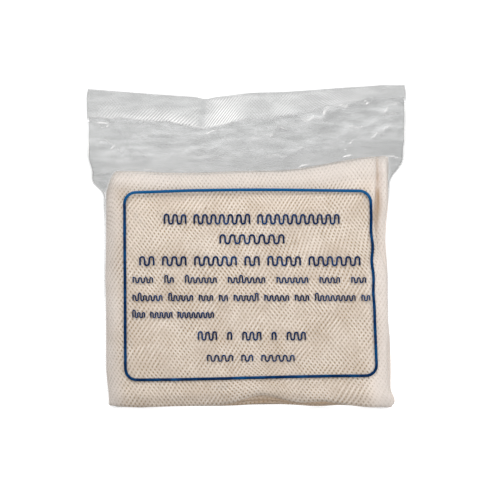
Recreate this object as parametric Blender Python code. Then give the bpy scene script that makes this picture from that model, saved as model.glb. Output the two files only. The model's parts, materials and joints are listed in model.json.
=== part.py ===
"""Arm sling pack: a folded triangular bandage and two safety pins, sealed in a clear film bag.

The pack stands on its flat bottom with +Z up and its printed front towards -Y. The origin is the centre
of the bottom, in the plane of the bag's two side welds. Lengths are in metres and angles in radians.
"""

import math

import bmesh
import bpy
import numpy as np

MM = 0.001

# Clearances and stock
FIT_GAP = 0.3 * MM  # left between any two pieces that touch
FILM = 0.3 * MM  # wall of the bag, thicker than real film so that it is a solid
SEAM_HALF = FIT_GAP / 2  # the front and back films stop this far from the weld plane

# Folded bandage
CLOTH_WIDTH = 126.0 * MM
CLOTH_HEIGHT = 107.4 * MM
CLOTH_DEPTH = 12.5 * MM
CLOTH_TOP_RADIUS = 5.0 * MM
CLOTH_TOP_ROUNDING = 0.9  # share of its depth that the cloth loses over its rounded top

# Film bag, from the bottom up
BOTTOM_RADIUS = 3.0 * MM
WIDENING_DROP = 12.0 * MM  # the film leaves the cloth's sides this far below the cloth's top
WIDENING_RISE = 20.0 * MM  # and is at its full flat width this much higher
SHOULDER_RISE = 14.0 * MM  # cloth top to the line that the header folds on
HEADER_OPEN_HEIGHT = 8.0 * MM  # fold line to the seal band, where the two films are still apart
SEAL_HEIGHT = 11.5 * MM
TOP_LIP = 2.0 * MM
SIDE_EASE = 5.1 * MM  # flat width of the bag beyond half the girth of what it holds
WELD_WIDTH = 0.6 * MM
HEADER_HALF_DEPTH = 0.9 * MM
BODY_SQUARENESS = 6.0  # exponent of the superellipse that the filled bag's section follows
SHOULDER_SQUARENESS = 3.5

# Safety pins
PIN_LENGTH = 38.0 * MM
WIRE = 0.9 * MM
COIL_RADIUS = 1.9 * MM  # to the wire's centre
CLASP_LENGTH = 8.0 * MM
CLASP_HEIGHT = 7.2 * MM
CLASP_WALL = 0.55 * MM
CLASP_NOSE_RADIUS = 2.8 * MM
CLASP_BACK_RADIUS = 0.8 * MM
LEG_DROP = 2.4 * MM  # the fixed leg's distance below the pin's centre line inside the clasp
POINT_LENGTH = 6.0 * MM
POINT_CLEARANCE = 1.6 * MM  # from the point to the inside of the clasp's nose
PIN_OPEN_ANGLE = math.radians(40)
PIN_CLEARANCE = 9.0 * MM  # between the open first pin and the second one
FIRST_PIN_HEIGHT = 26.0 * MM
PIN_SHIFTS = (-8.0 * MM, 6.0 * MM)  # each pin's middle, sideways from the bag's middle
PIN_TILTS = (math.radians(7), math.radians(-9))  # clasp end above the coil end

# What follows from the sizes above
BODY_HALF_WIDTH = CLOTH_WIDTH / 2 + FIT_GAP + FILM
CLASP_DEPTH = WIRE + 2 * FIT_GAP + 2 * CLASP_WALL
PIN_POCKET = CLASP_DEPTH + 2 * FIT_GAP
BODY_HALF_DEPTH = (CLOTH_DEPTH + PIN_POCKET + FIT_GAP + 2 * FILM) / 2
CLOTH_FRONT = BODY_HALF_DEPTH - FILM - FIT_GAP
CLOTH_BACK = CLOTH_DEPTH - CLOTH_FRONT
CLOTH_BOTTOM = FILM + FIT_GAP
CLOTH_TOP = CLOTH_BOTTOM + CLOTH_HEIGHT
WIDENING_START = CLOTH_TOP - WIDENING_DROP
SHOULDER_START = CLOTH_TOP - CLOTH_TOP_RADIUS
FOLD_HEIGHT = CLOTH_TOP + SHOULDER_RISE
SEAL_START = FOLD_HEIGHT + HEADER_OPEN_HEIGHT
BAG_HEIGHT = SEAL_START + SEAL_HEIGHT + TOP_LIP
HEADER_THIN_HALF = SEAM_HALF + FILM
PIN_PLANE = CLOTH_BACK + FIT_GAP + CLASP_DEPTH / 2
ARM_REACH = PIN_LENGTH - COIL_RADIUS - WIRE / 2 - CLASP_WALL - POINT_CLEARANCE
PIN_PITCH = ARM_REACH * math.sin(PIN_OPEN_ANGLE) + CLASP_HEIGHT + PIN_CLEARANCE

# Fineness of the facets
OUTLINE_STEPS = 18
CORNER_STEPS = 4
TOP_STEPS = 5
SMOOTH_ANGLE = math.radians(35)

COLOURS = {
    "muslin": ((0.72, 0.64, 0.55, 1.0), 0.95, 0.0),
    "clear_film": ((0.86, 0.89, 0.89, 0.35), 0.18, 0.0),
    "heat_seal": ((0.70, 0.73, 0.73, 0.6), 0.35, 0.0),
    "pin_wire": ((0.62, 0.62, 0.60, 1.0), 0.25, 1.0),
    "pin_clasp": ((0.70, 0.68, 0.62, 1.0), 0.22, 1.0),
}


def clear_scene():
    for old in list(bpy.data.objects):
        bpy.data.objects.remove(old, do_unlink=True)


def make_materials():
    """One Principled material for each finish in COLOURS."""
    made = {}
    for name, (colour, roughness, metallic) in COLOURS.items():
        material = bpy.data.materials.new(name)
        material.use_nodes = True
        shader = material.node_tree.nodes["Principled BSDF"]
        shader.inputs["Base Color"].default_value = colour
        shader.inputs["Roughness"].default_value = roughness
        shader.inputs["Metallic"].default_value = metallic
        shader.inputs["Alpha"].default_value = colour[3]
        made[name] = material
    return made


def smooth_step(value, start, end):
    """0 up to start, 1 from end on, and a smooth rise between them."""
    share = min(max((value - start) / (end - start), 0.0), 1.0)
    return share * share * (3 - 2 * share)


def half_outline(half_width, half_depth, squareness, seam_half):
    """Half of a level section, left to right: a half superellipse that stops seam_half from the weld plane."""
    angle = np.linspace(math.pi, 0, OUTLINE_STEPS + 1)
    power = 2 / squareness
    across = half_width * np.sign(np.cos(angle)) * np.abs(np.cos(angle)) ** power
    outward = seam_half + (half_depth - seam_half) * np.abs(np.sin(angle)) ** power
    return np.column_stack([across, outward])


def full_outline(half_width, front_depth, back_depth, squareness):
    """A whole level section: the front half from left to right, then the back half from right to left."""
    front = half_outline(half_width, front_depth, squareness, SEAM_HALF)
    back = half_outline(half_width, back_depth, squareness, SEAM_HALF)[::-1]
    return np.vstack([front * (1, -1), back])


def at_height(outline, height):
    return np.column_stack([outline, np.full(len(outline), height)])


def add_object(name, mesh, material, parent=None):
    mesh.materials.append(material)
    made = bpy.data.objects.new(name, mesh)
    made.parent = parent
    bpy.context.scene.collection.objects.link(made)
    return made


def finish_mesh(work, name):
    """A mesh from a bmesh, with its faces outward and its round parts smooth."""
    bmesh.ops.recalc_face_normals(work, faces=work.faces)
    mesh = bpy.data.meshes.new(name)
    work.to_mesh(mesh)
    work.free()
    mesh.shade_smooth()
    mesh.set_sharp_from_angle(angle=SMOOTH_ANGLE)
    return mesh


def loft(name, loops, material):
    """A solid through closed loops that all have the same number of points, with a flat cap at each end."""
    work = bmesh.new()
    rings = [[work.verts.new(point) for point in loop] for loop in loops]
    for lower, upper in zip(rings, rings[1:]):
        for here in range(len(lower)):
            after = (here + 1) % len(lower)
            work.faces.new((lower[here], lower[after], upper[after], upper[here]))
    work.faces.new(rings[0][::-1])
    work.faces.new(rings[-1])
    return add_object(name, finish_mesh(work, name), material)


def half_girth():
    """Half of the way round the filled bag, along its front half section."""
    outline = half_outline(BODY_HALF_WIDTH, BODY_HALF_DEPTH, BODY_SQUARENESS, SEAM_HALF)
    return float(np.linalg.norm(np.diff(outline, axis=0), axis=1).sum()) + 2 * SEAM_HALF


HEADER_HALF_WIDTH = (half_girth() + SIDE_EASE) / 2


def bag_half_width(height):
    grown = smooth_step(height, WIDENING_START, WIDENING_START + WIDENING_RISE)
    return BODY_HALF_WIDTH + (HEADER_HALF_WIDTH - BODY_HALF_WIDTH) * grown


def bag_half_depth(height):
    """Full depth beside the cloth, thin at the fold line, and two touching films at the seal."""
    if height > FOLD_HEIGHT:
        closing = smooth_step(height, FOLD_HEIGHT, SEAL_START)
        return HEADER_HALF_DEPTH + (HEADER_THIN_HALF - HEADER_HALF_DEPTH) * closing
    closing = smooth_step(height, SHOULDER_START, FOLD_HEIGHT)
    return BODY_HALF_DEPTH + (HEADER_HALF_DEPTH - BODY_HALF_DEPTH) * closing


def squareness_at(height):
    rounding = smooth_step(height, WIDENING_START, FOLD_HEIGHT)
    return BODY_SQUARENESS + (SHOULDER_SQUARENESS - BODY_SQUARENESS) * rounding


def film_wall(name, heights, side, material):
    """One wall of the bag between its two welds; side is -1 for the front and 1 for the back."""
    loops = []
    for height in heights:
        width = bag_half_width(height)
        depth = bag_half_depth(height)
        square = squareness_at(height)
        outer = half_outline(width, depth, square, SEAM_HALF)
        inner = half_outline(width - FILM, depth - FILM, square, SEAM_HALF)[::-1]
        loops.append(at_height(np.vstack([outer, inner]) * (1, side), height))
    return loft(name, loops, material)


def side_weld(name, heights, side, material):
    """The fused edge of the two films, a thin strip that follows the bag's side."""
    loops = []
    for height in heights:
        near = bag_half_width(height) + FIT_GAP
        far = near + WELD_WIDTH
        half = HEADER_THIN_HALF
        corners = np.array([(near, -half), (far, -half), (far, half), (near, half)])
        loops.append(at_height(corners * (side, 1), height))
    return loft(name, loops, material)


def folded_bandage(material):
    """The bandage as one block: flat faces, rounded sides and rounded top and bottom edges."""
    bottom_radius = BOTTOM_RADIUS - CLOTH_BOTTOM
    stations = []
    for step in range(CORNER_STEPS + 1):
        turn = math.pi / 2 * step / CORNER_STEPS
        inset = bottom_radius * (1 - math.sin(turn))
        stations.append((CLOTH_BOTTOM + bottom_radius * (1 - math.cos(turn)), inset, 1.0))
    stations.append((WIDENING_START, 0.0, 1.0))
    for step in range(TOP_STEPS + 1):
        turn = math.pi / 2 * step / TOP_STEPS
        inset = CLOTH_TOP_RADIUS * (1 - math.cos(turn))
        depth_share = 1 - CLOTH_TOP_ROUNDING * (1 - math.cos(turn))
        stations.append((SHOULDER_START + CLOTH_TOP_RADIUS * math.sin(turn), inset, depth_share))
    loops = []
    for height, inset, share in stations:
        rounding = min(inset, bottom_radius)
        front = (CLOTH_FRONT - rounding) * share
        back = (CLOTH_BACK - rounding) * share
        outline = full_outline(CLOTH_WIDTH / 2 - inset, front, back, squareness_at(height))
        loops.append(at_height(outline, height))
    return loft("folded_bandage", loops, material)


def bottom_fold(material):
    """The film's fold under the cloth: a shallow tray, lofted up its inside and down its outside."""
    loops = []
    for wall, turns in ((FILM, range(CORNER_STEPS + 1)), (0.0, range(CORNER_STEPS, -1, -1))):
        radius = BOTTOM_RADIUS - wall
        for step in turns:
            turn = math.pi / 2 * step / CORNER_STEPS
            inset = wall + radius * (1 - math.sin(turn))
            height = wall + radius * (1 - math.cos(turn))
            depth = BODY_HALF_DEPTH - inset
            outline = full_outline(BODY_HALF_WIDTH - inset, depth, depth, BODY_SQUARENESS)
            loops.append(at_height(outline, height))
    return loft("bag_bottom_fold", loops, material)


def seal_band(material):
    """The heat-sealed band across the header, with the plain lip of film above it."""
    half_width = HEADER_HALF_WIDTH + FIT_GAP + WELD_WIDTH
    half_depth = FILM
    bottom = SEAL_START + FIT_GAP
    work = bmesh.new()
    bmesh.ops.create_cube(work, size=1.0)
    for vertex in work.verts:
        vertex.co.x *= 2 * half_width
        vertex.co.y *= 2 * half_depth
        vertex.co.z = bottom + (vertex.co.z + 0.5) * (BAG_HEIGHT - bottom)
    return add_object("top_seal_band", finish_mesh(work, "top_seal_band"), material)


def bag(materials):
    """Body walls up to the fold line, and the header above it, which is a moving body of its own."""
    film = materials["clear_film"]
    weld = materials["heat_seal"]
    body_top = FOLD_HEIGHT - HEADER_HALF_DEPTH - FIT_GAP
    body_heights = [BOTTOM_RADIUS + FIT_GAP, WIDENING_START * 0.35, WIDENING_START * 0.7]
    body_heights += list(np.linspace(WIDENING_START, body_top, 10))
    header_heights = list(np.linspace(FOLD_HEIGHT + FIT_GAP, SEAL_START, 4))
    for section, heights in (("bag", body_heights), ("header", header_heights)):
        film_wall(section + "_front_film", heights, -1, film)
        film_wall(section + "_back_film", heights, 1, film)
        side_weld(section + "_weld_left", heights, -1, weld)
        side_weld(section + "_weld_right", heights, 1, weld)
    bottom_fold(film)
    seal_band(weld)


def wire(name, points, radii, material, parent):
    """A round wire through the points, as thick at each as its share in radii says."""
    curve = bpy.data.curves.new(name, "CURVE")
    curve.dimensions = "3D"
    curve.bevel_depth = WIRE / 2
    curve.bevel_resolution = 2
    curve.use_fill_caps = True
    spline = curve.splines.new("POLY")
    spline.points.add(len(points) - 1)
    for slot, point, share in zip(spline.points, points, radii):
        slot.co = (*point, 1.0)
        slot.radius = share
    return add_object(name, curve, material, parent)


def coil_arc(start, end, layer, steps=12):
    """Points on the coil between two angles, in the plane of one turn."""
    return [
        (COIL_RADIUS * math.cos(angle), layer, COIL_RADIUS * math.sin(angle))
        for angle in np.linspace(start, end, steps + 1)
    ]


def pin_leg(name, material, parent):
    """The fixed leg, from the clasp back to the coil and three quarters of a turn round it."""
    layer = -(WIRE + FIT_GAP) / 2
    leg_end = ARM_REACH + POINT_CLEARANCE - FIT_GAP
    bent = ARM_REACH - CLASP_LENGTH
    path = [(leg_end, 0.0, -LEG_DROP), (bent, 0.0, -LEG_DROP), (bent * 0.5, layer * 0.6, -COIL_RADIUS * 1.1)]
    path += coil_arc(-math.pi / 2, -2 * math.pi, layer)
    return wire(name, path, [1.0] * len(path), material, parent)


def pin_arm(name, material, parent):
    """The sharp arm, which turns about the coil; its own turn lies beside the leg's turn."""
    layer = (WIRE + FIT_GAP) / 2
    path = coil_arc(2 * math.pi, math.pi / 2, layer)
    shares = [1.0] * len(path)
    shoulder = ARM_REACH - POINT_LENGTH
    path += [(ARM_REACH * 0.4, layer * 0.6, COIL_RADIUS), (shoulder, 0.0, COIL_RADIUS)]
    shares += [1.0, 1.0]
    path += [(ARM_REACH - POINT_LENGTH * 0.4, 0.0, COIL_RADIUS), (ARM_REACH, 0.0, COIL_RADIUS)]
    shares += [0.6, 0.12]
    return wire(name, path, shares, material, parent)


def clasp_blank():
    """A flat block in the pin's plane with a round nose and slightly eased back corners."""
    work = bmesh.new()
    bmesh.ops.create_cube(work, size=1.0)
    nose = PIN_LENGTH - COIL_RADIUS - WIRE / 2
    for vertex in work.verts:
        vertex.co.x = nose - CLASP_LENGTH * (0.5 - vertex.co.x)
        vertex.co.y *= CLASP_DEPTH
        vertex.co.z *= CLASP_HEIGHT
    middle = nose - CLASP_LENGTH / 2
    for front, radius in ((True, CLASP_NOSE_RADIUS), (False, CLASP_BACK_RADIUS)):
        edges = []
        for edge in work.edges:
            along = edge.verts[0].co - edge.verts[1].co
            if abs(along.y) > CLASP_DEPTH / 2 and (edge.verts[0].co.x > middle) == front:
                edges.append(edge)
        bmesh.ops.bevel(work, geom=edges, offset=radius, segments=4, profile=0.5, affect="EDGES")
    return work


def pin_clasp(name, material, parent):
    """The folded cap on the fixed leg: two cheeks with a slot between them, open towards the arm."""
    clasp = add_object(name, finish_mesh(clasp_blank(), name), material, parent)
    floor = -LEG_DROP - WIRE / 2 - FIT_GAP
    work = bmesh.new()
    bmesh.ops.create_cube(work, size=1.0)
    inner_nose = PIN_LENGTH - COIL_RADIUS - WIRE / 2 - CLASP_WALL
    for vertex in work.verts:
        vertex.co.x = inner_nose + (vertex.co.x - 0.5) * 2 * CLASP_LENGTH
        vertex.co.y *= WIRE + 2 * FIT_GAP
        vertex.co.z = floor + (vertex.co.z + 0.5) * 2 * CLASP_HEIGHT
    cutter = add_object(name + "_slot", finish_mesh(work, name + "_slot"), material, parent)
    cutter.hide_render = True
    cutter.display_type = "WIRE"
    slot = clasp.modifiers.new("slot", "BOOLEAN")
    slot.operation = "DIFFERENCE"
    slot.solver = "EXACT"
    slot.object = cutter
    return clasp


def safety_pin(number, shift, tilt, materials):
    """One pin, flat against the cloth's back, on an empty at its coil's axis."""
    name = f"pin_{number}"
    coil = bpy.data.objects.new(name, None)
    coil_to_middle = PIN_LENGTH / 2 - COIL_RADIUS - WIRE / 2
    height = FIRST_PIN_HEIGHT + (number - 1) * PIN_PITCH
    coil.location = (shift - coil_to_middle * math.cos(tilt), PIN_PLANE, height - coil_to_middle * math.sin(tilt))
    coil.rotation_euler = (0.0, -tilt, 0.0)
    bpy.context.scene.collection.objects.link(coil)
    pin_leg(name + "_leg", materials["pin_wire"], coil)
    pin_arm(name + "_arm", materials["pin_wire"], coil)
    pin_clasp(name + "_clasp", materials["pin_clasp"], coil)


def main():
    clear_scene()
    materials = make_materials()
    folded_bandage(materials["muslin"])
    bag(materials)
    for number, (shift, tilt) in enumerate(zip(PIN_SHIFTS, PIN_TILTS), start=1):
        safety_pin(number, shift, tilt, materials)


main()
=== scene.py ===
"""Looks of the arm sling pack: the folded bandage, its film bag, the print on it and the two safety pins.

Every surface is worked out in the frame of the CAD model, in metres: x across the pack, y into it and z up.
A shape is first laid out in the plain upright form of the frame, here called nominal, and then placed, which
gives it the lean, the waves and the uneven edges of a soft pack.
"""

import json
import logging
import math
from dataclasses import dataclass, field
from enum import Enum

import bmesh
import bpy
import numpy as np
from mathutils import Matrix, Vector


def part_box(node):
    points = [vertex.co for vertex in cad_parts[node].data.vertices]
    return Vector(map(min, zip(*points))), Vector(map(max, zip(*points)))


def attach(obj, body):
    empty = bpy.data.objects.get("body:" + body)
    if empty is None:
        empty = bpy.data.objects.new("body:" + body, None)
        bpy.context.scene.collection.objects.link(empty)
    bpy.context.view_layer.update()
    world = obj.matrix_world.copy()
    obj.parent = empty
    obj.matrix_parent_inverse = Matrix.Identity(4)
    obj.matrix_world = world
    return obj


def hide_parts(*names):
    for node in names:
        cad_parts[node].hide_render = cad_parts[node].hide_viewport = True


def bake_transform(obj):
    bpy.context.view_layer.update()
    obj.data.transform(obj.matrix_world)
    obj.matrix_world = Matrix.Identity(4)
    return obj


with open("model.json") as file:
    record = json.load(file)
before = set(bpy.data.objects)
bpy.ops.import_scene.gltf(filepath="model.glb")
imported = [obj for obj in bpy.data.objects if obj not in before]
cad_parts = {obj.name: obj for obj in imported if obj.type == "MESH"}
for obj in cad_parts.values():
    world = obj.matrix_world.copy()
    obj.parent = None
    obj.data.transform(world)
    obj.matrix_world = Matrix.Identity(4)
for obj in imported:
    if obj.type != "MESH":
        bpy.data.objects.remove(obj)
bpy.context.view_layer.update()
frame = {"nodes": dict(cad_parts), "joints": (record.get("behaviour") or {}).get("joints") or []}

MM = 0.001
LOG = logging.getLogger("sling_pack")
Array = np.ndarray
Piece = bpy.types.Object
Material = bpy.types.Material
Socket = bpy.types.NodeSocket
Value = Socket | float
Colour = tuple[float, float, float, float]


def smooth_step(value: Array, start: float, end: float) -> Array:
    """Rise from 0 at start to 1 at end, as three times the share squared less twice its cube.

    Args:
        value: Where to read the step.
        start: Value below which the step is 0.
        end: Value above which it is 1.

    Returns:
        The step's height at each value.
    """
    share = np.clip((value - start) / (end - start), 0.0, 1.0)
    return share * share * (3 - 2 * share)


def hump(value: Array, middle: float, spread: float) -> Array:
    """A bell of height 1: e to the minus square of the distance from the middle over the spread.

    Args:
        value: Where to read the bell.
        middle: Value at its top.
        spread: Distance from the middle to where it is down to about a third.

    Returns:
        The bell's height at each value.
    """
    return np.exp(-(((value - middle) / spread) ** 2))


def bells(value: Array, *listed: tuple[float, float, float], unit: float = MM) -> Array:
    """Sum of several bells.

    Args:
        value: Where to read them.
        listed: Each bell's height, and its middle and spread in millimetres.
        unit: What the heights are in.

    Returns:
        Their summed height at each value.
    """
    return sum(height * unit * hump(value, middle * MM, spread * MM) for height, middle, spread in listed)


@dataclass(frozen=True)
class Ripples:
    """Low uneven waves over a face: a sum of sines in random directions, the same on every run."""

    seed: int
    rise: float
    shortest: float
    longest: float
    count: int = 9

    def at(self, x: Array, z: Array) -> Array:
        """Rise times the sum of the waves' sines of (x along + z along + phase), over their number's root.

        Args:
            x: Place across the face.
            z: Place up the face.

        Returns:
            The waves' height, about as high as rise either way.
        """
        random = np.random.default_rng(self.seed)
        total = np.zeros(np.broadcast(x, z).shape)
        for _ in range(self.count):
            length = random.uniform(self.shortest, self.longest)
            heading = random.uniform(0, math.pi)
            phase = random.uniform(0, 2 * math.pi)
            turn = 2 * math.pi / length
            total = total + np.sin(turn * (x * math.cos(heading) + z * math.sin(heading)) + phase)
        return self.rise * total / math.sqrt(self.count)


@dataclass(frozen=True)
class Crease:
    """One crease in the film, from one point of the face to another, as (x, z) in metres."""

    start: tuple[float, float]
    end: tuple[float, float]
    width: float
    rise: float
    shine: float = 1.0

    def distance(self, x: Array, z: Array) -> tuple[Array, Array]:
        """Distance from the crease's line, and the share of the way along it.

        Args:
            x: Place across the face.
            z: Place up the face.

        Returns:
            The distance in metres, and 0 to 1 from the start to the end.
        """
        run = np.array(self.end) - np.array(self.start)
        along = ((x - self.start[0]) * run[0] + (z - self.start[1]) * run[1]) / (run @ run)
        along = np.clip(along, 0.0, 1.0)
        away = np.hypot(x - self.start[0] - along * run[0], z - self.start[1] - along * run[1])
        return away, along

    def crooked(self, x: Array, z: Array) -> Array:
        """Height with small waves added, so that the crease isn't a straight line."""
        waves = 0.5 * np.sin(x / (2.3 * MM) + z / (3 * MM)) + 0.35 * np.sin(x / (0.9 * MM) + 2)
        return z + self.width * waves

    def height(self, x: Array, z: Array) -> Array:
        """Rise of the crease: a ridge over its width that fades towards both of its ends.

        Args:
            x: Place across the face.
            z: Place up the face.

        Returns:
            The film's rise above its plain form.
        """
        away, along = self.distance(x, self.crooked(x, z))
        fade = np.sin(math.pi * np.clip(along, 0.02, 0.98))
        return self.rise * fade / (1 + (away / self.width) ** 2) ** 1.5

    def glint(self, x: Array, z: Array) -> Array:
        """Painted highlight on the crease's crest, a bell about a third as wide as the crease itself.

        Args:
            x: Place across the face.
            z: Place up the face.

        Returns:
            The painted highlight, up to the crease's shine.
        """
        away, along = self.distance(x, self.crooked(x, z))
        fade = np.sin(math.pi * np.clip(along, 0.0, 1.0))
        return self.shine * fade * np.exp(-((away / (0.34 * self.width)) ** 2))


@dataclass(frozen=True)
class PackForm:
    """The form of the filled bag, read from the frame, and the way everything in it is placed."""

    body_half_width: float
    header_half_width: float
    half_depth: float
    cloth_low: Vector
    cloth_high: Vector
    fold_height: float
    seal_low: float
    top: float
    bottom_radius: float
    widening_drop: float = 12 * MM
    widening_rise: float = 20 * MM
    shoulder_radius: float = 5 * MM
    header_half_depth: float = 0.9 * MM
    sealed_half_depth: float = 0.36 * MM
    seam_half: float = 0.1 * MM
    body_squareness: float = 6.0
    shoulder_squareness: float = 3.5
    ripple_rise: float = 0.12 * MM
    corner_reach: float = 4.5 * MM
    corner_depth: float = 9.0 * MM

    @classmethod
    def from_frame(cls) -> "PackForm":
        """Read the form's sizes from the boxes of the CAD nodes and from the header's joint.

        Returns:
            The form.
        """
        cloth_low, cloth_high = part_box("folded_bandage")
        _, tray_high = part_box("bag_bottom_fold")
        front_low, front_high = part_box("bag_front_film")
        band_low, band_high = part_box("top_seal_band")
        fold = next(joint for joint in frame["joints"] if joint["name"] == "header_fold")
        return cls(
            body_half_width=tray_high.x,
            header_half_width=front_high.x,
            half_depth=-front_low.y,
            cloth_low=cloth_low,
            cloth_high=cloth_high,
            fold_height=fold["pos_m"][2],
            seal_low=band_low.z,
            top=band_high.z,
            bottom_radius=tray_high.z,
        )

    def half_width(self, z: Array) -> Array:
        """The bag's half width: that of the body, widening smoothly to the flat width above the cloth.

        Args:
            z: Height.

        Returns:
            The half width at each height.
        """
        start = self.cloth_high.z - self.widening_drop
        grown = smooth_step(z, start, start + self.widening_rise)
        return self.body_half_width + (self.header_half_width - self.body_half_width) * grown

    def depth(self, z: Array) -> Array:
        """The bag's half depth: full beside the cloth, closing over the shoulder to the header's film.

        Args:
            z: Height.

        Returns:
            The half depth at each height.
        """
        closing = smooth_step(z, self.cloth_high.z - self.shoulder_radius, self.fold_height)
        flattening = smooth_step(z, self.fold_height, self.seal_low)
        body = self.half_depth + (self.header_half_depth - self.half_depth) * closing
        return body - (self.header_half_depth - self.sealed_half_depth) * flattening

    def squareness(self, z: Array) -> Array:
        """Exponent of the level section's superellipse: boxy round the cloth, rounder over the shoulder."""
        rounding = smooth_step(z, self.cloth_high.z - self.widening_drop, self.fold_height)
        return self.body_squareness + (self.shoulder_squareness - self.body_squareness) * rounding

    def outward_share(self, x: Array, z: Array, ease: float = 0.0) -> Array:
        """Share of the full depth left at x: the nth root of 1 less the nth power of x over the half width.

        Args:
            x: Place across the pack.
            z: Height.
            ease: Added to the half width.

        Returns:
            1 in the middle of the pack, falling to 0 at its sides.
        """
        power = self.squareness(z)
        across = np.clip(np.abs(x) / (self.half_width(z) + ease), 0.0, 1.0)
        return (1 - across**power) ** (1 / power)

    def top_shift(self, x: Array) -> Array:
        """How far the top edge stands above the frame's: a shallow V, eased at the right corner.

        Args:
            x: Place across the pack.

        Returns:
            The shift along z.
        """
        rise = 0.076 * np.sqrt((x + 19 * MM) ** 2 + (2 * MM) ** 2)
        dip = bells(x, (0.9, -18.5, 3.5), (-0.8, 2, 12))
        return rise - dip - 3.1 * MM - 1.1 * MM * smooth_step(x, 60 * MM, 73 * MM)

    def cloth_shift(self, x: Array) -> Array:
        """How far the cloth's top stands above the frame's: low in the middle and raised at the right."""
        left = bells(x, (0.9, -54, 12)) + 0.9 * MM * smooth_step(x, -24 * MM, 6 * MM)
        return left - 1.5 * MM + 6.9 * MM * smooth_step(x, 12 * MM, 64 * MM)

    def bottom_shift(self, x: Array) -> Array:
        """How far the bottom stands above the floor: it rests at the right and sags a little at the left.

        Args:
            x: Place across the pack.

        Returns:
            The shift along z.
        """
        sag = bells(x, (-0.8, -50, 15))
        middle = bells(x, (0.3, 14, 14), (-0.9, 32, 7))
        return 0.9 * MM + sag + middle - 0.9 * MM * smooth_step(x, 42 * MM, 56 * MM)

    def side_shift(self, x: Array, z: Array) -> Array:
        """How far the sides stand from the frame's: the left foot drawn in, the right side waisted.

        Args:
            x: Place across the pack.
            z: Height.

        Returns:
            The shift along x, largest at the sides and nothing in the middle.
        """
        foot = 1.3 * MM * (1 - smooth_step(z, 2 * MM, 19 * MM))
        left = foot - 0.5 * MM - bells(z, (0.4, 60, 9))
        spread = 1.1 * MM * (1 - smooth_step(z, 30 * MM, 56 * MM))
        waist = bells(z, (1.5, 75, 10))
        ear = bells(z, (2.0, 3.5, 3.5))
        right = spread - waist + ear + 0.2 * MM + 0.3 * MM * smooth_step(z, 80 * MM, 92 * MM)
        body = 1 - smooth_step(z, 96 * MM, 112 * MM)
        share = np.clip(np.abs(x) / self.body_half_width, 0.0, 1.1) ** 3
        wing = np.clip(np.abs(x) / self.half_width(z), 0.0, 1.0) ** 10
        free = smooth_step(np.abs(x), self.body_half_width - 0.6 * MM, self.half_width(z))
        flare = np.where(x < 0, bells(z, (-2.8, 103.5, 4)), bells(z, (3.0, 104.5, 5.5))) * free
        edge = self.ripple_rise * wing * np.sin(z / (4.7 * MM)) * (1 - body)
        return share * body * np.where(x < 0, left, right) + flare + edge

    def curl(self, x: Array, z: Array) -> Array:
        """How far the empty header leans and waves out of its plane, more towards its top edge.

        Args:
            x: Place across the pack.
            z: Height.

        Returns:
            The shift along y.
        """
        free = smooth_step(z, self.cloth_high.z, self.top)
        wave = 1.0 * MM * np.sin(x / (21 * MM) + 0.4) + 0.45 * MM * np.sin(x / (8.3 * MM) + 1.1)
        buckle = bells(x, (-2.2, -20, 4.5), (1.2, -10, 5), (1.6, 58, 9))
        return free * (wave + buckle)

    def place(self, x: Array, y: Array, z: Array) -> Array:
        """Move nominal points to where they are on the soft pack.

        Each height is lifted by the shift of whatever edge it is near: the bottom's, the cloth's or the
        header's. The sides and the header's plane then take their own shifts. The top corners are tucked
        in, and low ripples run over the front.

        Args:
            x: Nominal place across the pack.
            y: Nominal place into it.
            z: Nominal height.

        Returns:
            The points, one more axis long.
        """
        near_cloth = smooth_step(z, 45 * MM, self.cloth_high.z)
        near_top = smooth_step(z, self.cloth_high.z + 2 * MM, self.top)
        lift = self.bottom_shift(x) * (1 - smooth_step(z, 0.0, 50 * MM))
        lift = lift + self.cloth_shift(x) * near_cloth * (1 - near_top) + self.top_shift(x) * near_top
        near_corner = np.sign(x) * (np.abs(x) / self.header_half_width) ** 8
        tuck = -0.5 * MM * hump(z, self.top, 2 * MM) * near_corner
        face = FACE_RIPPLES.at(x, z) * (1 - near_top) * np.clip(-y / self.half_depth, 0.0, 1.0)
        return np.stack([x + self.side_shift(x, z) + tuck, y + self.curl(x, z) + face, z + lift], axis=-1)

    def corner_drop(self, x: Array) -> Array:
        """How far the cloth's top left corner falls: the share of the way into it to the power of 1.8."""
        share = np.clip((self.cloth_low.x + self.corner_reach - x) / self.corner_reach, 0.0, 1.0)
        return self.corner_depth * share**1.8

    def nominal(self, x: Array, z: Array) -> tuple[Array, Array]:
        """Undo the placing for points on the front: the nominal x and z that end up at these ones.

        Args:
            x: Wanted place across the pack.
            z: Wanted height.

        Returns:
            The nominal x and z, found by taking off the shift four times over.
        """
        x_start, z_start = x, z
        for _ in range(4):
            placed = self.place(x_start, np.zeros_like(x_start), z_start)
            x_start, z_start = x_start + x - placed[..., 0], z_start + z - placed[..., 2]
        return x_start, z_start

    def front(self, x: Array, z: Array, lift: float = 0.0) -> Array:
        """Placed points on the front film at nominal x and z, moved outwards by lift."""
        outward = self.seam_half + (self.depth(z) - self.seam_half) * self.outward_share(x, z)
        return self.place(x, -outward - FILM_CREASES.height(x, z) - lift, z)


FACE_RIPPLES = Ripples(seed=11, rise=0.22 * MM, shortest=16 * MM, longest=60 * MM)


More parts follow.
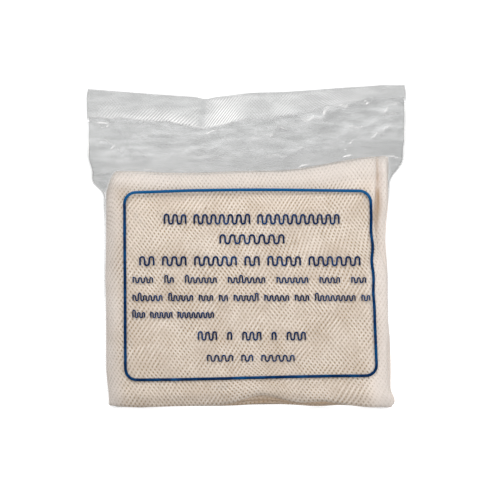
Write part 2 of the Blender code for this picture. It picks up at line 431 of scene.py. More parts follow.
@dataclass(frozen=True)
class CreaseField:
    """All the creases on one face of the bag, with the fine crumple of the loose header film."""

    creases: tuple[Crease, ...]
    crumple: tuple[Ripples, ...]
    loose_from: float
    loose_to: float
    crumple_end: float

    def looseness(self, z: Array) -> Array:
        """1 where the film is free of the cloth and 0 where it is drawn over it or sealed."""
        near_seal = smooth_step(z, self.crumple_end - 5 * MM, self.crumple_end)
        return smooth_step(z, self.loose_from, self.loose_to) * (1 - near_seal)

    def height(self, x: Array, z: Array) -> Array:
        """Outward rise of the film: its creases, and the size of the crumple's waves where it is loose."""
        waves = sum(ripple.at(x, z) for ripple in self.crumple)
        return self.relief(x, z) + self.looseness(z) * np.abs(waves)

    def relief(self, x: Array, z: Array) -> Array:
        """Outward rise of the creases alone, summed."""
        return sum((crease.height(x, z) for crease in self.creases), np.zeros(np.broadcast(x, z).shape))

    def shadow(self, x: Array, z: Array) -> Array:
        """Darkening under the creases: how much higher the film is a crease's width above the point.

        Args:
            x: Place across the face.
            z: Place up the face.

        Returns:
            The darkening, from 0 to 1.
        """
        total = np.zeros(np.broadcast(x, z).shape)
        for crease in self.creases:
            overhang = crease.height(x, z + 1.1 * crease.width) - crease.height(x, z)
            total = total + np.clip(overhang / (0.6 * MM), 0.0, 1.0)
        return np.clip(total, 0.0, 1.0)

    def glint(self, x: Array, z: Array) -> Array:
        """Painted highlights along the creases' crests, broken up along their length.

        Args:
            x: Place across the face.
            z: Place up the face.

        Returns:
            The whitening, from 0 to 1.
        """
        total = np.zeros(np.broadcast(x, z).shape)
        for crease in self.creases:
            total = np.maximum(total, crease.glint(x, z))
        broken = 0.62 + 0.38 * np.sin(x / (1.9 * MM) + z / (1.3 * MM))
        return np.clip(total * broken, 0.0, 1.0)


def header_creases() -> tuple[Crease, ...]:
    """The film's creases: long folds across the loose header, short ones at its corners, a few on the face.

    Each one is listed as its two ends, its width and its rise, in millimetres, and its shine.

    Returns:
        The creases.
    """
    listed = (
        # across the loose film of the header
        (-70, 130, -60, 129, 0.9, 0.5, 0.5),
        (-71.5, 117, -70, 129, 0.7, 0.4, 0.8),
        (-67, 127, -60, 129.0, 0.6, 0.3, 0.5),
        (-62, 117.5, -58, 121, 0.7, 0.4, 0.6),
        (-60, 112, -48, 115, 1.0, 0.5, 0.15),
        (-44, 120, -22, 124, 1.2, 0.5, 0.10),
        (-26, 126, -10, 128, 0.7, 0.4, 0.5),
        (-3, 119, 20, 129.5, 2.0, 0.8, 0.24),
        (2, 113, 34, 118, 1.7, 0.7, 0.16),
        (-34, 117, -8, 121, 1.5, 0.6, 0.14),
        (-52, 124, -30, 127, 1.4, 0.5, 0.16),
        (20, 126, 52, 139.5, 2.6, 1.1, 0.42),
        (38, 120, 62, 126, 1.9, 0.8, 0.26),
        (52, 134, 57, 136.5, 0.7, 0.5, 1.0),
        (53.5, 137, 55.5, 133, 0.5, 0.3, 0.9),
        (50, 115, 72, 125, 2.0, 0.9, 0.28),
        (58, 129, 71, 136, 1.8, 0.8, 0.32),
        (50, 139.5, 71, 137.5, 1.6, 0.8, 0.35),
        (44, 114, 49, 117, 0.6, 0.4, 0.5),
        (31, 121, 35, 122.5, 0.5, 0.3, 0.5),
        # tight folds where the film leaves the cloth's top corners and edge
        (62, 108.0, 76, 106.0, 1.1, 0.5, 1.3),
        (63, 102.5, 71, 107, 0.8, 0.4, 0.7),
        (-70, 104, -63, 110, 0.9, 0.4, 0.3),
        (-60, 109, -52, 111, 0.8, 0.3, 0.4),
        (22, 108.5, 30, 109.2, 0.7, 0.3, 0.6),
        (40, 109.2, 50, 110, 0.6, 0.3, 0.5),
        # on the printed face
        (-57, 96, -44, 83, 1.6, 0.25, 0.22),
        (51.5, 88.5, 57, 93.6, 0.8, 0.3, 1.0),
        (-56, 42, -50, 27, 1.3, 0.3, 0.25),
        (48, 60, 60, 40, 1.4, 0.2, 0.12),
        (-20, 10, 12, 6, 1.5, 0.2, 0.12),
    )
    return tuple(
        Crease((x0 * MM, z0 * MM), (x1 * MM, z1 * MM), width * MM, rise * MM, shine)
        for x0, z0, x1, z1, width, rise, shine in listed
    )


FILM_CREASES = CreaseField(
    creases=header_creases(),
    crumple=(
        Ripples(seed=5, rise=0.34 * MM, shortest=7 * MM, longest=22 * MM, count=12),
        Ripples(seed=8, rise=0.08 * MM, shortest=5 * MM, longest=9 * MM, count=12),
    ),
    loose_from=106 * MM,
    loose_to=116 * MM,
    crumple_end=134 * MM,
)


def grid_faces(rows: int, columns: int, flip: bool = False) -> Array:
    """Four-cornered faces between the points of a grid, each one naming its corners in turn.

    Args:
        rows: Points up the grid.
        columns: Points across it.
        flip: Whether the faces look the other way.

    Returns:
        One row of four point numbers for each face.
    """
    index = np.arange(rows * columns).reshape(rows, columns)
    corners = [index[:-1, :-1], index[:-1, 1:], index[1:, 1:], index[1:, :-1]]
    if flip:
        corners.reverse()
    return np.stack(corners, axis=-1).reshape(-1, 4)


def mesh_object(name: str, points: Array, faces: Array | list, material: Material) -> Piece:
    """Put points and faces into a new smooth mesh object at the origin.

    Args:
        name: The piece's name.
        points: One row of x, y and z for each point.
        faces: The point numbers of each face.
        material: The piece's finish.

    Returns:
        The new object.
    """
    mesh = bpy.data.meshes.new(name)
    mesh.from_pydata(points.reshape(-1, 3), [], faces.tolist() if isinstance(faces, np.ndarray) else faces)
    mesh.materials.append(material)
    mesh.shade_smooth()
    mesh.update()
    made = bpy.data.objects.new(name, mesh)
    bpy.context.scene.collection.objects.link(made)
    return made


def loop_faces(loops: int, around: int) -> list[list[int]]:
    """Faces of a closed bar through loops of points, with a flat cap at each end.

    Args:
        loops: Number of loops along the bar.
        around: Points in each loop.

    Returns:
        The point numbers of each face.
    """
    index = np.arange(loops * around).reshape(loops, around)
    after = np.roll(index, -1, axis=1)
    sides = np.stack([index[:-1], after[:-1], after[1:], index[1:]], axis=-1).reshape(-1, 4)
    return sides.tolist() + [index[0, ::-1].tolist(), index[-1].tolist()]


def set_attribute(piece: Piece, name: str, values: Array) -> None:
    """Store one number for each point of a piece, for its material to read.

    Args:
        piece: The object.
        name: The attribute's name.
        values: One number for each point.
    """
    attribute = piece.data.attributes.new(name, "FLOAT", "POINT")
    attribute.data.foreach_set("value", values.astype(np.float32).ravel())


def thicken(piece: Piece, thickness: float, offset: float) -> None:
    """Give a sheet its real thickness with a Solidify modifier.

    Args:
        piece: The sheet.
        thickness: Its thickness.
        offset: -1 to grow inwards, 1 outwards and 0 both ways.
    """
    modifier = piece.modifiers.new("thickness", "SOLIDIFY")
    modifier.thickness = thickness
    modifier.offset = offset
    modifier.use_even_offset = False


class NodeSheet:
    """A short way to lay out shader nodes: most methods add one node and return its output socket."""

    def __init__(self, tree: bpy.types.NodeTree) -> None:
        """Keep the tree that the nodes go into."""
        self.tree = tree

    def feed(self, node: bpy.types.Node, inputs: dict) -> bpy.types.Node:
        """Link sockets to a node's inputs, and set plain values on them.

        Args:
            node: The node.
            inputs: Values or sockets for its inputs, by name or number.

        Returns:
            The same node.
        """
        for key, value in inputs.items():
            if isinstance(value, Socket):
                self.tree.links.new(value, node.inputs[key])
            else:
                node.inputs[key].default_value = value
        return node

    def add(self, kind: str, inputs: dict | None = None, **settings: object) -> bpy.types.Node:
        """Add a node, set it and feed it.

        Args:
            kind: The node's type name.
            inputs: Values or sockets for its inputs, by name or number.
            settings: Properties of the node itself.

        Returns:
            The node.
        """
        node = self.tree.nodes.new(kind)
        for key, value in settings.items():
            setattr(node, key, value)
        return self.feed(node, inputs or {})

    def math(
        self, operation: str, first: Value, second: Value = 0.0, third: Value = 0.0, clamp: bool = False
    ) -> Socket:
        """One Math node.

        Args:
            operation: The node's operation.
            first: Its first value.
            second: Its second one.
            third: Its third one.
            clamp: Whether the result is kept between 0 and 1.

        Returns:
            The result's socket.
        """
        inputs = {0: first, 1: second, 2: third}
        return self.add("ShaderNodeMath", inputs, operation=operation, use_clamp=clamp).outputs[0]

    def noise(self, vector: Socket, scale: float, detail: float = 2.0, roughness: float = 0.5) -> Socket:
        """One Noise Texture, read at a point.

        Args:
            vector: The point.
            scale: Lumps in each unit of length.
            detail: Number of finer layers.
            roughness: Strength of the finer layers.

        Returns:
            The noise's value socket.
        """
        inputs = {"Vector": vector, "Scale": scale, "Detail": detail, "Roughness": roughness}
        return self.add("ShaderNodeTexNoise", inputs).outputs["Fac"]

    def span(
        self, value: Socket, low: float, high: float, to_low: float = 0.0, to_high: float = 1.0
    ) -> Socket:
        """Map the range from low to high onto another one, smoothly and without passing its ends.

        Args:
            value: What is mapped.
            low: Start of its range.
            high: End of its range.
            to_low: What low becomes.
            to_high: What high becomes.

        Returns:
            The mapped socket.
        """
        inputs = {"Value": value, "From Min": low, "From Max": high, "To Min": to_low, "To Max": to_high}
        return self.add("ShaderNodeMapRange", inputs, interpolation_type="SMOOTHSTEP").outputs["Result"]

    def blend(self, share: Socket, first: Colour | Socket, second: Colour | Socket) -> Socket:
        """Mix two colours.

        Args:
            share: How much of the second one there is.
            first: The first colour.
            second: The second colour.

        Returns:
            The mixed colour's socket.
        """
        inputs = {0: share, 6: first, 7: second}
        return self.add("ShaderNodeMix", inputs, data_type="RGBA").outputs[2]

    def bump(self, height: Socket, strength: float, distance: float) -> Socket:
        """The surface's normal, tilted by a height."""
        inputs = {"Height": height, "Strength": strength, "Distance": distance}
        return self.add("ShaderNodeBump", inputs).outputs[0]

    def shifted(self, point: Socket, by: tuple[float, float, float]) -> Socket:
        """A point moved to another part of a pattern."""
        return self.add("ShaderNodeVectorMath", {0: point, 1: by}).outputs[0]

    def place(self) -> Socket:
        """The point in the piece's own coordinates."""
        return self.add("ShaderNodeTexCoord").outputs["Object"]

    def attribute(self, name: str) -> Socket:
        """A number that the mesh holds for each of its points."""
        return self.add("ShaderNodeAttribute", attribute_name=name).outputs["Fac"]

    def seen(self) -> Socket:
        """1 where the camera looks straight at it, and 0 for all other light."""
        return self.add("ShaderNodeLightPath").outputs["Is Camera Ray"]


def new_material(
    name: str, roughness: float, metallic: float = 0.0
) -> tuple[Material, NodeSheet, bpy.types.Node]:
    """An empty node material with its Principled shader.

    Args:
        name: The material's name.
        roughness: Set on the shader.
        metallic: Set on the shader.

    Returns:
        The material, its node sheet and its shader.
    """
    material = bpy.data.materials.new(name)
    material.use_nodes = True
    shader = material.node_tree.nodes["Principled BSDF"]
    sheet = NodeSheet(material.node_tree)
    sheet.feed(shader, {"Roughness": roughness, "Metallic": metallic})
    return material, sheet, shader


SLUBS_PER_METRE = 260


def weave_group() -> bpy.types.NodeTree:
    """Shader group of an open plain weave, read at a point of the flat cloth.

    Two families of yarns cross. Each family is a cosine across its own yarns, bent a little by noise. The
    gaps are dark where both families are between yarns, and in patches also along one family alone. The
    relief is the higher of the two.

    Returns:
        The group, with the inputs Point, First Count and Second Count and the outputs Gap, Relief and Slub.
    """
    group = bpy.data.node_groups.new("open weave", "ShaderNodeTree")
    group.interface.new_socket("Point", in_out="INPUT", socket_type="NodeSocketVector")
    for name in ("First Count", "Second Count"):
        group.interface.new_socket(name, in_out="INPUT", socket_type="NodeSocketFloat")
    for name in ("Gap", "Relief", "Slub"):
        group.interface.new_socket(name, in_out="OUTPUT", socket_type="NodeSocketFloat")
    sheet = NodeSheet(group)
    source = sheet.add("NodeGroupInput").outputs
    point = source["Point"]
    drawn = sheet.add("ShaderNodeSeparateXYZ", {0: point}).outputs
    sway = sheet.math("SUBTRACT", sheet.noise(point, 55, 2.0), 0.5)
    drift = sheet.math("SUBTRACT", sheet.noise(point, 17, 1.0), 0.5)
    crowns = []
    fuzz = []
    for count, lean, sign in (("First Count", 31, -1), ("Second Count", 38, 1)):
        cosine, sine = math.cos(math.radians(lean)), math.sin(math.radians(lean))
        across = sheet.math("MULTIPLY", drawn[0], cosine)
        across = sheet.math("MULTIPLY_ADD", drawn[1], sign * sine, across)
        turns = sheet.math("MULTIPLY", across, source[count])
        turns = sheet.math("MULTIPLY_ADD", sway, 0.9 * sign, turns)
        turns = sheet.math("MULTIPLY_ADD", drift, 2.4, turns)
        wave = sheet.math("COSINE", sheet.math("MULTIPLY", turns, 2 * math.pi))
        crowns.append(sheet.math("MULTIPLY_ADD", wave, 0.5, 0.5))
        along = sheet.math("MULTIPLY", drawn[1], cosine * SLUBS_PER_METRE)
        along = sheet.math("MULTIPLY_ADD", drawn[0], -sign * sine * SLUBS_PER_METRE, along)
        yarn = sheet.add("ShaderNodeCombineXYZ", {0: turns, 1: along}).outputs[0]
        fuzz.append(sheet.noise(yarn, 1.0, 3.0, 0.6))
    between = [sheet.math("SUBTRACT", 1.0, crown) for crown in crowns]
    gap = sheet.span(sheet.math("MULTIPLY", between[0], between[1]), 0.46, 0.95)
    bright = []
    for number in (0, 1):
        parted = sheet.noise(sheet.shifted(point, (0.4, number * 0.9, 0.0)), 110, 2.0)
        parted = sheet.span(parted, 0.40, 0.62, 0.0, 0.42)
        line = sheet.math("MULTIPLY", sheet.math("POWER", between[number], 5.0), parted)
        gap = sheet.math("MAXIMUM", gap, line)
        share = sheet.noise(sheet.shifted(point, (number * 0.7, 0.3, 0.0)), 70, 2.0)
        share = sheet.span(share, 0.36, 0.64, 0.45, 1.0)
        thread = sheet.math("POWER", crowns[number], 1.7)
        thread = sheet.math("MULTIPLY", thread, sheet.span(fuzz[number], 0.34, 0.62, 0.55, 1.1))
        bright.append(sheet.math("MULTIPLY", thread, share))
    crest = sheet.math("MAXIMUM", bright[0], bright[1])
    slub = sheet.math("MULTIPLY_ADD", sheet.math("MULTIPLY", bright[0], bright[1]), -0.3, crest, clamp=True)
    relief = sheet.math("MULTIPLY_ADD", sheet.math("ADD", fuzz[0], fuzz[1]), 0.2, crest)
    sheet.add("NodeGroupOutput", {"Gap": gap, "Relief": relief, "Slub": slub})
    return group

@dataclass(frozen=True)
class MuslinFinish:
    """Unbleached cotton: creamy yarns, tan gaps between them, slubs and a few dark husk flecks; painted shade
    lies in its folds and painted pale light on its top and sides.
    """

    name: str = "muslin"
    yarn: Colour = (0.98, 0.88, 0.79, 1.0)
    yarn_shade: Colour = (0.60, 0.485, 0.385, 1.0)
    # colour of the painted pale light on the block's top and sides
    drawn: Colour = (1.0, 0.90, 0.835, 1.0)
    gap: Colour = (0.27, 0.165, 0.05, 1.0)
    fleck: Colour = (0.20, 0.11, 0.06, 1.0)
    # colour of the painted shade in the folds' hollows
    fold_shade: Colour = (0.52, 0.335, 0.18, 1.0)
    first_yarn: float = 1.65 * MM
    second_yarn: float = 1.39 * MM

    def material(self) -> Material:
        """Build the material, whose weave follows the cloth's own flat coordinates in metres.

        Returns:
            The material.
        """
        material, sheet, shader = new_material(self.name, 0.92)
        point = sheet.add("ShaderNodeUVMap", uv_map="flat").outputs["UV"]
        inputs = {"Point": point, "First Count": 1 / self.first_yarn, "Second Count": 1 / self.second_yarn}
        weave = sheet.add("ShaderNodeGroup", inputs, node_tree=weave_group()).outputs
        patches = sheet.span(sheet.noise(point, 90, 3.0, 0.6), 0.34, 0.66, 0.35, 1.0)
        # painted pale light on the block's top and sides, which also softens the weave's gaps
        pale_light = sheet.attribute("pale_light")
        depth = sheet.math("MULTIPLY", weave["Gap"], patches)
        depth = sheet.math("MULTIPLY", depth, sheet.math("MULTIPLY_ADD", pale_light, -0.72, 1.0))
        shade = sheet.blend(weave["Slub"], self.yarn_shade, self.yarn)
        shade = sheet.blend(sheet.math("MULTIPLY", pale_light, 0.8), shade, self.drawn)
        woven = sheet.blend(depth, shade, self.gap)
        husk = sheet.span(sheet.noise(point, 420, 1.0), 0.765, 0.80, 0.0, 0.8)
        flecked = sheet.blend(husk, woven, self.fleck)
        dressed = {
            # painted shade where the folds open and along the bottom
            "Base Color": sheet.blend(sheet.attribute("painted_fold_shade"), flecked, self.fold_shade),
            "Normal": sheet.bump(weave["Relief"], 0.55, 0.25 * MM),
            "Sheen Weight": 0.25,
            "Sheen Roughness": 0.6,
            "Specular IOR Level": 0.2,
        }
        sheet.feed(shader, dressed)
        return material


class Clarity(Enum):
    """How clear a part of the bag is: the loose and drawn film, or the two films fused at a seal."""

    FILM = "clear film"
    SEAL = "heat seal"


@dataclass(frozen=True)
class FilmFinish:
    """Polyethylene film: nearly invisible on the cloth, grey and hazy where loose, with painted white
    highlights on creases.
    """

    clarity: Clarity
    grey: Colour = (0.20, 0.21, 0.207, 1.0)
    pale: Colour = (0.62, 0.635, 0.63, 1.0)
    # colour of the painted highlights
    white: Colour = (0.98, 0.968, 0.958, 1.0)
    drawn_alpha: float = 0.02
    loose_alpha: float = 0.26
    crest_alpha: float = 0.62
    roughness: float = 0.24
    stretch: float = 4.2
    tilt: float = -0.12

    def material(self) -> Material:
        """Build the material, which reads the film's haze, and its tone and glint that carry painted shade
        and highlights.

        Returns:
            The material.
        """
        material, sheet, shader = new_material(self.clarity.value, self.roughness)
        place = sheet.place()
        haze = sheet.attribute("haze")
        drawn_out = {"Vector": place, "Scale": (1.0, 1.0, self.stretch), "Rotation": (0, self.tilt, 0)}
        stretched = sheet.add("ShaderNodeMapping", drawn_out).outputs[0]
        cloud = sheet.span(sheet.noise(place, 42, 3.0, 0.6), 0.3, 0.7)
        streak = sheet.span(sheet.noise(stretched, 88, 4.0, 0.58), 0.33, 0.67)
        mottle = sheet.math("MULTIPLY_ADD", streak, 0.7, sheet.math("MULTIPLY", cloud, 0.3))
        # painted sparkle highlights in the loose film
        spark = sheet.span(sheet.noise(stretched, 330, 3.0, 0.6), 0.68, 0.78)
        spark = sheet.math("MULTIPLY", sheet.math("MULTIPLY", spark, haze), 0.5)
        bright = sheet.math("MAXIMUM", sheet.attribute("glint"), spark, clamp=True)
        mottle = sheet.math("MULTIPLY_ADD", mottle, 0.6, -0.3)
        shade = sheet.math("ADD", mottle, sheet.attribute("tone"), clamp=True)
        body = sheet.blend(shade, self.grey, self.pale)
        loose = sheet.math("MULTIPLY_ADD", streak, -0.03, self.loose_alpha)
        added = sheet.math("SUBTRACT", loose, self.drawn_alpha)
        alpha = sheet.math("MULTIPLY_ADD", haze, added, self.drawn_alpha)
        dressed = {
            "Base Color": sheet.blend(sheet.math("MULTIPLY", bright, 3.0, clamp=True), body, self.white),
            "Alpha": sheet.math("MULTIPLY_ADD", bright, self.crest_alpha, alpha, clamp=True),
            "Normal": sheet.bump(sheet.noise(stretched, 110, 3.0, 0.6), 0.35, 0.5 * MM),
            "IOR": 1.51,
            "Specular IOR Level": 0.3,
        }
        sheet.feed(shader, dressed)
        return material


@dataclass(frozen=True)
class InkFinish:
    """Blue printing ink, a little thin and mottled where the film isn't flat, brighter at the top."""

    name: str = "blue ink"
    dark: Colour = (0.0005, 0.023, 0.088, 1.0)
    light: Colour = (0.004, 0.072, 0.215, 1.0)
    upper: Colour = (0.006, 0.095, 0.26, 1.0)
    brighter_from: float = 91 * MM
    brightest_at: float = 96 * MM

    def material(self) -> Material:
        """Build the material.

        Returns:
            The material.
        """
        material, sheet, shader = new_material(self.name, 0.5)
        place = sheet.place()
        thin = sheet.span(sheet.noise(place, 140, 3.0, 0.6), 0.42, 0.72)
        height = sheet.add("ShaderNodeSeparateXYZ", {0: place}).outputs[2]
        near_top = sheet.span(height, self.brighter_from, self.brightest_at)
        dressed = {
            "Base Color": sheet.blend(near_top, sheet.blend(thin, self.dark, self.light), self.upper),
            "Normal": sheet.bump(sheet.noise(place, 2600, 2.0), 0.15, 0.03 * MM),
            "Specular IOR Level": 0.05,
        }
        sheet.feed(shader, dressed)
        return material


@dataclass(frozen=True)
class SteelFinish:
    """Nickel-plated steel with fine drawing or pressing marks and a little dulling."""

    name: str
    colour: Colour = (0.70, 0.69, 0.66, 1.0)
    dulled: Colour = (0.50, 0.48, 0.45, 1.0)
    roughness: float = 0.2
    mark_scale: tuple[float, float, float] = (300.0, 3000.0, 3000.0)

    def material(self) -> Material:
        """Build the material.

        Returns:
            The material.
        """
        material, sheet, shader = new_material(self.name, self.roughness, 1.0)
        place = sheet.place()
        marks = sheet.add("ShaderNodeMapping", {"Vector": place, "Scale": self.mark_scale}).outputs[0]
        fine = sheet.noise(marks, 1.0, 3.0, 0.6)
        dull = sheet.span(sheet.noise(place, 350, 3.0, 0.6), 0.4, 0.75)
        rough = sheet.math("MULTIPLY_ADD", dull, 0.16, self.roughness)
        uneven = sheet.math("SUBTRACT", fine, 0.5)
        dressed = {
            "Base Color": sheet.blend(dull, self.colour, self.dulled),
            "Roughness": sheet.math("MULTIPLY_ADD", uneven, 0.12, rough, clamp=True),
            "Normal": sheet.bump(fine, 0.2, 0.02 * MM),
        }
        sheet.feed(shader, dressed)
        return material


@dataclass
class FoldedBandage:
    """The triangle of muslin, folded as it is packed: in panels up its height, across, then like a book.

    On the flat triangle, u runs along the long edge from its middle and v up from it. The panels up the
    height give a strip of up to seven layers. Each half of the strip is folded across, to and fro. The two
    halves are then closed like a book, so that the left side is one smooth wrap and the right side shows
    folds.
    """

    form: PackForm
    leg: float = 1.016
    panel_height: float = 107.4 * MM
    panel_width: float = 127 * MM
    layers: tuple[int, ...] = (7, 6, 5, 4, 2, 1)
    wrap_length: float = 9.6 * MM
    turn_length: float = 3.0 * MM
    crown_length: float = 0.6 * MM
    thickness: float = 0.2 * MM
    inner_left: float = 2.8 * MM
    front_step: float = 1.5 * MM
    back_step: float = 3.2 * MM
    hidden_step: float = 12 * MM
    inner_step: float = 11 * MM
    steps_from_fold: tuple[float, ...] = (0.6, 0.6, 0.6, 0.7, 0.8, 1.0, 1.4, 2.0)
    side_gap: float = 1.6 * MM
    slots: int = field(init=False)
    pitch: float = field(init=False)
    altitude: float = field(init=False)

    def __post_init__(self) -> None:
        """Work out the number of places for a layer, their pitch and the triangle's altitude."""
        self.slots = 2 * sum(self.layers)
        depth = self.form.cloth_high.y - self.form.cloth_low.y
        self.pitch = depth / self.slots
        self.altitude = self.leg / math.sqrt(2)

    def height_lines(self) -> Array:
        """Values of v for the grid: close together on the first panel, and three at each fold.

        Returns:
            The values, from 0 to the triangle's tip.
        """
        lines = []
        panels = math.ceil(self.altitude / self.panel_height)
        for panel in range(panels):
            low = panel * self.panel_height + (self.crown_length if panel else 0.0)
            high = min((panel + 1) * self.panel_height - self.crown_length, self.altitude)
            step = self.front_step if panel == 0 else self.hidden_step
            lines.append(np.linspace(low, high, max(2, round((high - low) / step) + 1)))
            if panel < panels - 1:
                lines.append(np.array([(panel + 1) * self.panel_height]))
        return np.concatenate(lines)

    def half_width_lines(self, first_step: float) -> Array:
        """Values of the distance along u from the book fold, for one half.

        Args:
            first_step: Spacing of the lines on the outermost panel.

        Returns:
            The values, from 0 to the triangle's corner.
        """
        lines = [np.linspace(0.0, self.wrap_length, 13)[:-1]]
        panels = len(self.layers)
        for panel in range(panels):
            low = panel * self.panel_width + (self.turn_length if panel else self.wrap_length)
            high = min((panel + 1) * self.panel_width - self.turn_length, self.altitude)
            step = first_step if panel == 0 else self.inner_step
            even = np.linspace(low, high, max(2, round((high - low) / step) + 1))
            near = np.cumsum(self.steps_from_fold) * MM
            by_right = low + near if panel % 2 else high - near
            lines.append(np.unique(np.concatenate([even, by_right])) if panel in (1, 2) else even)
            if panel < panels - 1:
                fold = (panel + 1) * self.panel_width
                lines.append(np.linspace(fold - self.turn_length, fold + self.turn_length, 9)[1:-1])
        return np.concatenate(lines)

    def layer_and_height(self, v: Array) -> tuple[Array, Array]:
        """Fold the height: which layer a point is in, and how high it is in the panel.

        The height goes up and down with each panel, and the layer steps over by one round each fold.

        Args:
            v: Distance up the flat triangle.

        Returns:
            The layer, with halves on the folds, and the height above the panel's foot.
        """
        turns = v / self.panel_height
        panel = np.floor(turns)
        share = turns - panel
        height = np.where(panel % 2 == 0, share, 1 - share) * self.panel_height
        nearest = np.round(turns)
        on_fold = (np.abs(turns - nearest) * self.panel_height < 0.5 * self.crown_length) & (nearest > 0)
        layer = np.where(on_fold, nearest - 0.5, panel)
        return layer, np.where(on_fold & (nearest % 2 == 0), 0.0, height)

    def slot(self, panel: Array, layer: Array) -> Array:
        """Place of a layer in the stack of one half, counted from the outside; odd panels lie turned over.

        Args:
            panel: Panel across the strip.
            layer: Layer in the strip.

        Returns:
            The number of the place.
        """
        before = np.concatenate([[0], np.cumsum(self.layers)])
        count = np.array(self.layers + (1,))
        turned = before[panel] + count[panel] - 1 - layer
        return np.where(panel % 2 == 0, before[panel] + layer, turned)

    def turn_line(self, fold: Array, height: Array, back: Array) -> Array:
        """Where the turns of a fold across have their centres: right for odd folds, left for even ones.

        Args:
            fold: Number of the fold, counted from the book fold, which is 0.
            height: Height in the panel.
            back: Whether the point is in the back half.

        Returns:
            The place across the pack.
        """
        count = np.array((0,) + self.layers + (1, 1))
        widest = (count[fold] + count[fold + 1] - 1) * self.pitch / 2
        low, high = self.form.cloth_low.x, self.form.cloth_high.x
        opening = smooth_step(height, 58 * MM, 84 * MM)
        inset = np.select(
            [(fold == 1) & ~back, (fold == 1) & back, fold == 3],
            [0.4 * MM + 5.0 * MM * opening, self.side_gap + 0 * height, -0.3 * MM - 0.3 * MM * opening],
            self.side_gap,
        )
        flutter = 0.5 * MM * np.sin(height / (9 * MM) + 2.0 * fold + 1.5 * back)
        right = high - widest - inset + flutter * (fold > 0)
        left = low + widest + self.inner_left
        book = low + self.slots / 2 * self.pitch
        return np.where(fold == 0, book, np.where(fold % 2 == 1, right, left))

    def folded(self, u: Array, v: Array) -> tuple[Array, Array]:
        """Fold the flat triangle into its block and place it in the bag.

        Flat stretches run between the centres of their turns. A turn is a half circle between the two places
        that it joins, and the book fold is one about the middle of the stack.

        Args:
            u: Distance along the long edge, from its middle.
            v: Distance up from the long edge.

        Returns:
            The placed points, and the strength of the painted shade at each one.
        """
        away = np.abs(u)
        back = u < 0
        layer, height = self.layer_and_height(v)
        panel = np.minimum((away / self.panel_width).astype(int), len(self.layers) - 1)
        fold = np.round(away / self.panel_width).astype(int)
        reach = away - fold * self.panel_width
        turning = (np.abs(reach) <= self.turn_length * 1.0001) & (fold > 0) & (fold < len(self.layers))
        angle = math.pi * (reach + self.turn_length) / (2 * self.turn_length)

        # flat stretches, each from one turn to the next
        start = np.where(panel == 0, self.wrap_length, panel * self.panel_width + self.turn_length)
        end = (panel + 1) * self.panel_width - self.turn_length
        share = np.clip((away - start) / (end - start), 0.0, 1.0)
        x_start = self.turn_line(panel, height, back)
        x_end = self.turn_line(panel + 1, height, back)
        x = x_start + (x_end - x_start) * share
        slot = self.slot(panel, layer)

        # turns, each a half circle from one place in the stack to the next
        first = self.slot(np.maximum(fold - 1, 0), layer)
        second = self.slot(np.minimum(fold, len(self.layers) - 1), layer)
        radius = np.abs(second - first) * self.pitch / 2
        side = np.where(fold % 2 == 1, 1.0, -1.0)
        x = np.where(turning, self.turn_line(fold, height, back) + side * radius * np.sin(angle), x)
        slot = np.where(turning, first + (second - first) * (1 - np.cos(angle)) / 2, slot)

        # the book fold, about the middle of the stack
        middle = (self.slots - 1) / 2
        wrapping = away < self.wrap_length
        bend = math.pi / 2 * (1 - away / self.wrap_length)
        x = np.where(wrapping, x_start - (middle - layer) * self.pitch * np.sin(bend), x)
        slot = np.where(wrapping, middle - (middle - layer) * np.cos(bend), slot)
        slot = np.where(back, self.slots - 1 - slot, slot)
        y = self.form.cloth_low.y + (slot + 0.5) * self.pitch
        y, fold_shade = self.part_folds(x, y, height, np.where(back, -1.0, slot), layer)
        return self.settle(x, y, height, u, v, layer), fold_shade

    def part_folds(self, x: Array, y: Array, height: Array, slot: Array, layer: Array) -> tuple[Array, Array]:
        """Open the folds a little up the right side into a groove, and paint shade in it, in a thin crack
        above it and in gaps along the bottom.

        Args:
            x: Place across the block.
            y: Place into it.
            height: Height in the panel.
            slot: Place in the stack of the front half, and -1 in the back half.
            layer: Layer in the strip.

        Returns:
            The new y, and the painted shade's strength from 0 to 1.
        """
        # at the right, inner folds open into a groove with painted shade in it, and a thin line of painted
        # shade above it
        low_slot, high_slot = sum(self.layers[:2]), sum(self.layers[:4])
        inner = (slot > low_slot - 0.5) & (slot < high_slot)
        depth_share = np.clip(1 - (slot - low_slot) / 14, 0.0, 1.0)
        opening = smooth_step(height, 68 * MM, 88 * MM)
        y = y - inner * depth_share * opening * 2.5 * MM * smooth_step(x, 59.2 * MM, 61.0 * MM)
        line = 58.6 * MM
        centre = line + 0.5 * MM * np.sin(height / (6 * MM))
        breadth = (0.75 + 1.0 * hump(height, 84 * MM, 7 * MM)) * MM
        streak = 0.75 + 0.25 * np.sin(x / (0.21 * MM) + height / (6 * MM))
        below_top = 1 - smooth_step(height, 92 * MM, 96 * MM)
        groove = inner * opening * below_top * hump(x, centre, breadth) * streak
        crack = inner * smooth_step(height, 94 * MM, 98 * MM) * hump(x, line, 0.4 * MM) * 0.7
        # along the bottom, the layers behind the first one lie in shadow
        turned_in = (layer > 0.4) * (slot >= 0)
        gaps = np.maximum(hump(x, 9 * MM, 17 * MM), hump(x, 33 * MM, 7 * MM))
        under = turned_in * (1 - smooth_step(height, 2 * MM, 6 * MM)) * gaps
        under = under * (0.38 + 0.22 * np.sin(x / (2.9 * MM) + 2 * layer))
        foot = turned_in * (1 - smooth_step(height, 0.0, 1.1 * MM)) * smooth_step(x, -40 * MM, -10 * MM)
        under = np.maximum(under, 0.9 * foot)
        return y, np.clip(np.maximum(np.maximum(groove, crack), under), 0.0, 1.0)

    def settle(self, x: Array, y: Array, height: Array, u: Array, v: Array, layer: Array) -> Array:
        """Press the block into the bag: uneven folds, thin edges, a rounded corner, then the pack's form.

        Args:
            x: Place across the block.
            y: Place into it.
            height: Height in the panel.
            u: Distance along the flat cloth's long edge.
            v: Distance up the flat cloth.
            layer: Layer in the strip.

        Returns:
            The placed points.
        """
        full = self.panel_height
